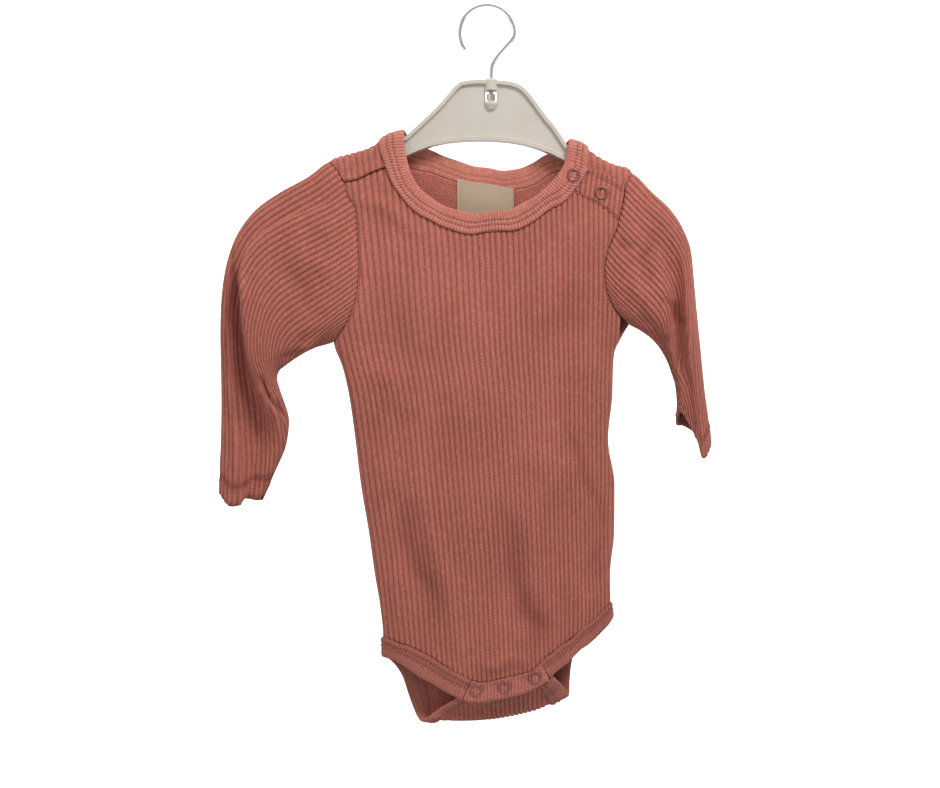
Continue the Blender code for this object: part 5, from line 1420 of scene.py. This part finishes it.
def build_threads():
    """Every noted row as stitches: short rounded capsules laid end to end along its line."""
    around, rings = 6, 5
    bend = np.linspace(0, 2 * math.pi, around, endpoint=False)
    profile = np.sin(np.linspace(0.12, math.pi - 0.12, rings)) ** 0.6
    reach = np.linspace(-0.5, 0.5, rings)
    vertices, faces, runs = [], [], []
    base = 0
    quads = []
    for i in range(rings - 1):
        j = np.arange(around)
        n = (j + 1) % around
        quads.append(np.stack([i * around + j, i * around + n, (i + 1) * around + n,
                               (i + 1) * around + j], 1))
    # each end's six points are closed by two faces
    caps = [[0, 3, 2, 1], [0, 5, 4, 3], [24, 25, 26, 27], [24, 27, 28, 29]]
    quads = np.concatenate(quads + [np.array(caps)])
    length = sizes().stitch / MM
    pitch = length + STITCH_GAP
    for line, normals, lift, radius in THREADS:
        arc = arc_length(line)
        at = np.arange(0.5 * pitch, arc[-1] - 0.5 * pitch, pitch)
        if len(at) == 0:
            continue
        spot = cut_at(at, arc, line)
        up = cut_at(at, arc, normals)
        up /= np.linalg.norm(up, axis=1, keepdims=True)
        ahead = cut_at(at + 0.4 * length, arc, line) - cut_at(at - 0.4 * length, arc, line)
        ahead /= np.linalg.norm(ahead, axis=1, keepdims=True) + 1e-9
        side = np.cross(ahead, up)
        side /= np.linalg.norm(side, axis=1, keepdims=True) + 1e-9
        ahead = ahead + side * (0.07 * np.sin(at * 12.9))[:, None]
        sink = -0.35 * (2 * reach) ** 2
        body = (spot[:, None, None] + up[:, None, None] * (lift + sink[None, :, None, None])
                + ahead[:, None, None] * (reach * length)[None, :, None, None]
                + side[:, None, None] * (radius * profile[:, None] * np.cos(bend))[None, :, :, None]
                + up[:, None, None] * (radius * profile[:, None] * np.sin(bend))[None, :, :, None])
        each = rings * around
        vertices.append(body.reshape(-1, 3))
        faces.append((quads[None] + base + each * np.arange(len(at))[:, None, None]).reshape(-1, 4))
        runs.append(np.broadcast_to((reach * length)[None, :, None], body.shape[:3]).ravel())
        base += each * len(at)
    mesh = quad_mesh("stitching", np.concatenate(vertices), np.concatenate(faces),
                     {"run": np.concatenate(runs)})
    add_piece("stitching", mesh, finish_for("thread"))


def hem_rows(outer, turns, to_cuff):
    """Two rows of stitches round a cuff."""
    for distance in HEM_STITCHES:
        k = int(np.argmin(np.abs(to_cuff[:, 0] - distance)))
        ring = np.vstack([outer[k], outer[k, :1]])
        up = np.vstack([turns[k], turns[k, :1]])
        keep = np.concatenate([[True], np.linalg.norm(np.diff(ring, axis=0), axis=1) > 1e-4])
        stitch_row(ring[keep], up[keep], 0.2, 0.26)


# Operators

class BODYSUIT_OT_panels(bpy.types.Operator):
    """Build the front and back panels"""

    bl_idname = "bodysuit.panels"
    bl_label = "Front and back"

    def execute(self, context):
        build_front()
        build_back()
        return {"FINISHED"}


class BODYSUIT_OT_sleeves(bpy.types.Operator):
    """Build both sleeves and note their hem stitching"""

    bl_idname = "bodysuit.sleeves"
    bl_label = "Sleeves"

    def execute(self, context):
        for which in ("left", "right"):
            hem_rows(*build_sleeve(which))
        return {"FINISHED"}


class BODYSUIT_OT_bands(bpy.types.Operator):
    """Build the neckband, leg bands and snap strip"""

    bl_idname = "bodysuit.bands"
    bl_label = "Bands"

    def execute(self, context):
        build_neckband()
        build_leg_bands()
        build_strip()
        return {"FINISHED"}


class BODYSUIT_OT_trims(bpy.types.Operator):
    """Build the shoulder placket, the bare label, the snaps and the stitching"""

    bl_idname = "bodysuit.trims"
    bl_label = "Placket, label, snaps, stitching"

    def execute(self, context):
        build_placket()
        build_label()
        for k, spot in enumerate(RING_SHOULDER):
            build_ring(f"ring_shoulder_{k + 1}", spot, 1.0, 1.75 if k == 0 else 1.2,
                       f"snap_shoulder_{k + 1}")
        for k, spot in enumerate(RING_CROTCH):
            build_ring(f"ring_crotch_{k + 1}", spot, 0.0, 1.75, f"snap_crotch_{k + 1}")
        build_threads()
        return {"FINISHED"}


class BODYSUIT_OT_hanger(bpy.types.Operator):
    """Finish the hanger and its hook"""

    bl_idname = "bodysuit.hanger"
    bl_label = "Hanger"

    def execute(self, context):
        c = colours()
        finishes = {"hanger_body": plastic_finish("moulded plastic", tuple(c.plastic)),
                    "hanger_hook": metal_finish("plated wire", tuple(c.wire), 0.2)}
        for node, finish in finishes.items():
            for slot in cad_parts[node].material_slots:
                slot.material = finish
        return {"FINISHED"}


class BODYSUIT_OT_stage(bpy.types.Operator):
    """Set the camera, the pale backdrop and the studio light"""

    bl_idname = "bodysuit.stage"
    bl_label = "Stage"

    def execute(self, context):
        scene = context.scene
        stage = scene.bodysuit_stage
        data = bpy.data.cameras.new("camera")
        data.lens = stage.lens
        data.sensor_width = 36.0
        camera = bpy.data.objects.new("camera", data)
        camera.location = (stage.across, -stage.distance, stage.height)
        camera.rotation_euler = (math.pi / 2, 0.0, 0.0)
        scene.collection.objects.link(camera)
        scene.camera = camera
        add_backdrop()
        add_light("key", (0.5, -0.85, 0.85), 0.5, stage.key)
        add_light("fill", (-1.0, -0.8, 0.35), 0.9, stage.fill)
        add_light("back", (0.3, 1.3, 0.45), 0.9, stage.fill)
        world = bpy.data.worlds.new("studio")
        world.use_nodes = True
        background = world.node_tree.nodes["Background"]
        background.inputs["Color"].default_value = (1.0, 0.99, 0.975, 1.0)
        background.inputs["Strength"].default_value = 0.42
        scene.world = world
        scene.view_settings.view_transform = "Standard"
        return {"FINISHED"}


def add_backdrop():
    """A pale sheet behind and below: a floor that curves up into a wall."""
    bend = np.linspace(0, math.pi / 2, 24)
    radius, floor, back, front, half = 500.0, -1150.0, 1400.0, -2600.0, 3200.0
    y = np.concatenate([[front], back - radius + radius * np.sin(bend), [back]])
    z = np.concatenate([[floor], floor + radius - radius * np.cos(bend), [floor + 4200.0]])
    x = np.array([-half, half])
    net = np.stack(np.broadcast_arrays(x[None], y[:, None], z[:, None]), -1)
    index = np.arange(net.shape[0] * 2).reshape(-1, 2)
    faces = np.stack([index[:-1, 0], index[:-1, 1], index[1:, 1], index[1:, 0]], 1)
    mesh = quad_mesh("backdrop", net.reshape(-1, 3), faces)
    made = bpy.data.objects.new("backdrop", mesh)
    pale = Finish("backdrop", (0.92, 0.92, 0.92), 0.9)
    pale.set("Emission Color", (1.0, 1.0, 1.0, 1.0))
    pale.set("Emission Strength", 1.0)
    mesh.materials.append(pale.material)
    made.visible_diffuse = False
    bpy.context.scene.collection.objects.link(made)


def add_light(name, spot, size, power):
    """A square soft light turned towards the garment."""
    data = bpy.data.lights.new(name, "AREA")
    data.size = size
    data.energy = power
    made = bpy.data.objects.new(name, data)
    made.location = spot
    aim = np.array(GARMENT_MIDDLE) - np.array(spot)
    aim /= np.linalg.norm(aim)
    pitch = math.acos(-aim[2])
    made.rotation_euler = (pitch, 0.0, math.atan2(aim[1], aim[0]) - math.pi / 2)
    bpy.context.scene.collection.objects.link(made)


class BODYSUIT_PT_panel(bpy.types.Panel):
    """Sidebar panel that lists the sizes, colours and steps"""

    bl_idname = "BODYSUIT_PT_panel"
    bl_label = "Bodysuit"
    bl_space_type = "VIEW_3D"
    bl_region_type = "UI"
    bl_category = "Bodysuit"

    def draw(self, context):
        for group in ("bodysuit_sizes", "bodysuit_colours", "bodysuit_stage"):
            settings = getattr(context.scene, group)
            box = self.layout.box()
            for name in settings.__annotations__:
                box.prop(settings, name)
        for step in STEPS:
            self.layout.operator(step.bl_idname)


STEPS = (BODYSUIT_OT_stage, BODYSUIT_OT_panels, BODYSUIT_OT_sleeves, BODYSUIT_OT_bands,
         BODYSUIT_OT_trims, BODYSUIT_OT_hanger)
GROUPS = (BodysuitSizes, BodysuitColours, BodysuitStage)


def register():
    for item in GROUPS + STEPS + (BODYSUIT_PT_panel,):
        bpy.utils.register_class(item)
    bpy.types.Scene.bodysuit_sizes = PointerProperty(type=BodysuitSizes)
    bpy.types.Scene.bodysuit_colours = PointerProperty(type=BodysuitColours)
    bpy.types.Scene.bodysuit_stage = PointerProperty(type=BodysuitStage)


def unregister():
    del bpy.types.Scene.bodysuit_sizes
    del bpy.types.Scene.bodysuit_colours
    del bpy.types.Scene.bodysuit_stage
    for item in reversed(GROUPS + STEPS + (BODYSUIT_PT_panel,)):
        bpy.utils.unregister_class(item)


def main():
    register()
    bpy.ops.bodysuit.stage()
    bpy.ops.bodysuit.panels()
    bpy.ops.bodysuit.sleeves()
    bpy.ops.bodysuit.bands()
    bpy.ops.bodysuit.trims()
    bpy.ops.bodysuit.hanger()


if __name__ == "__main__":
    main()
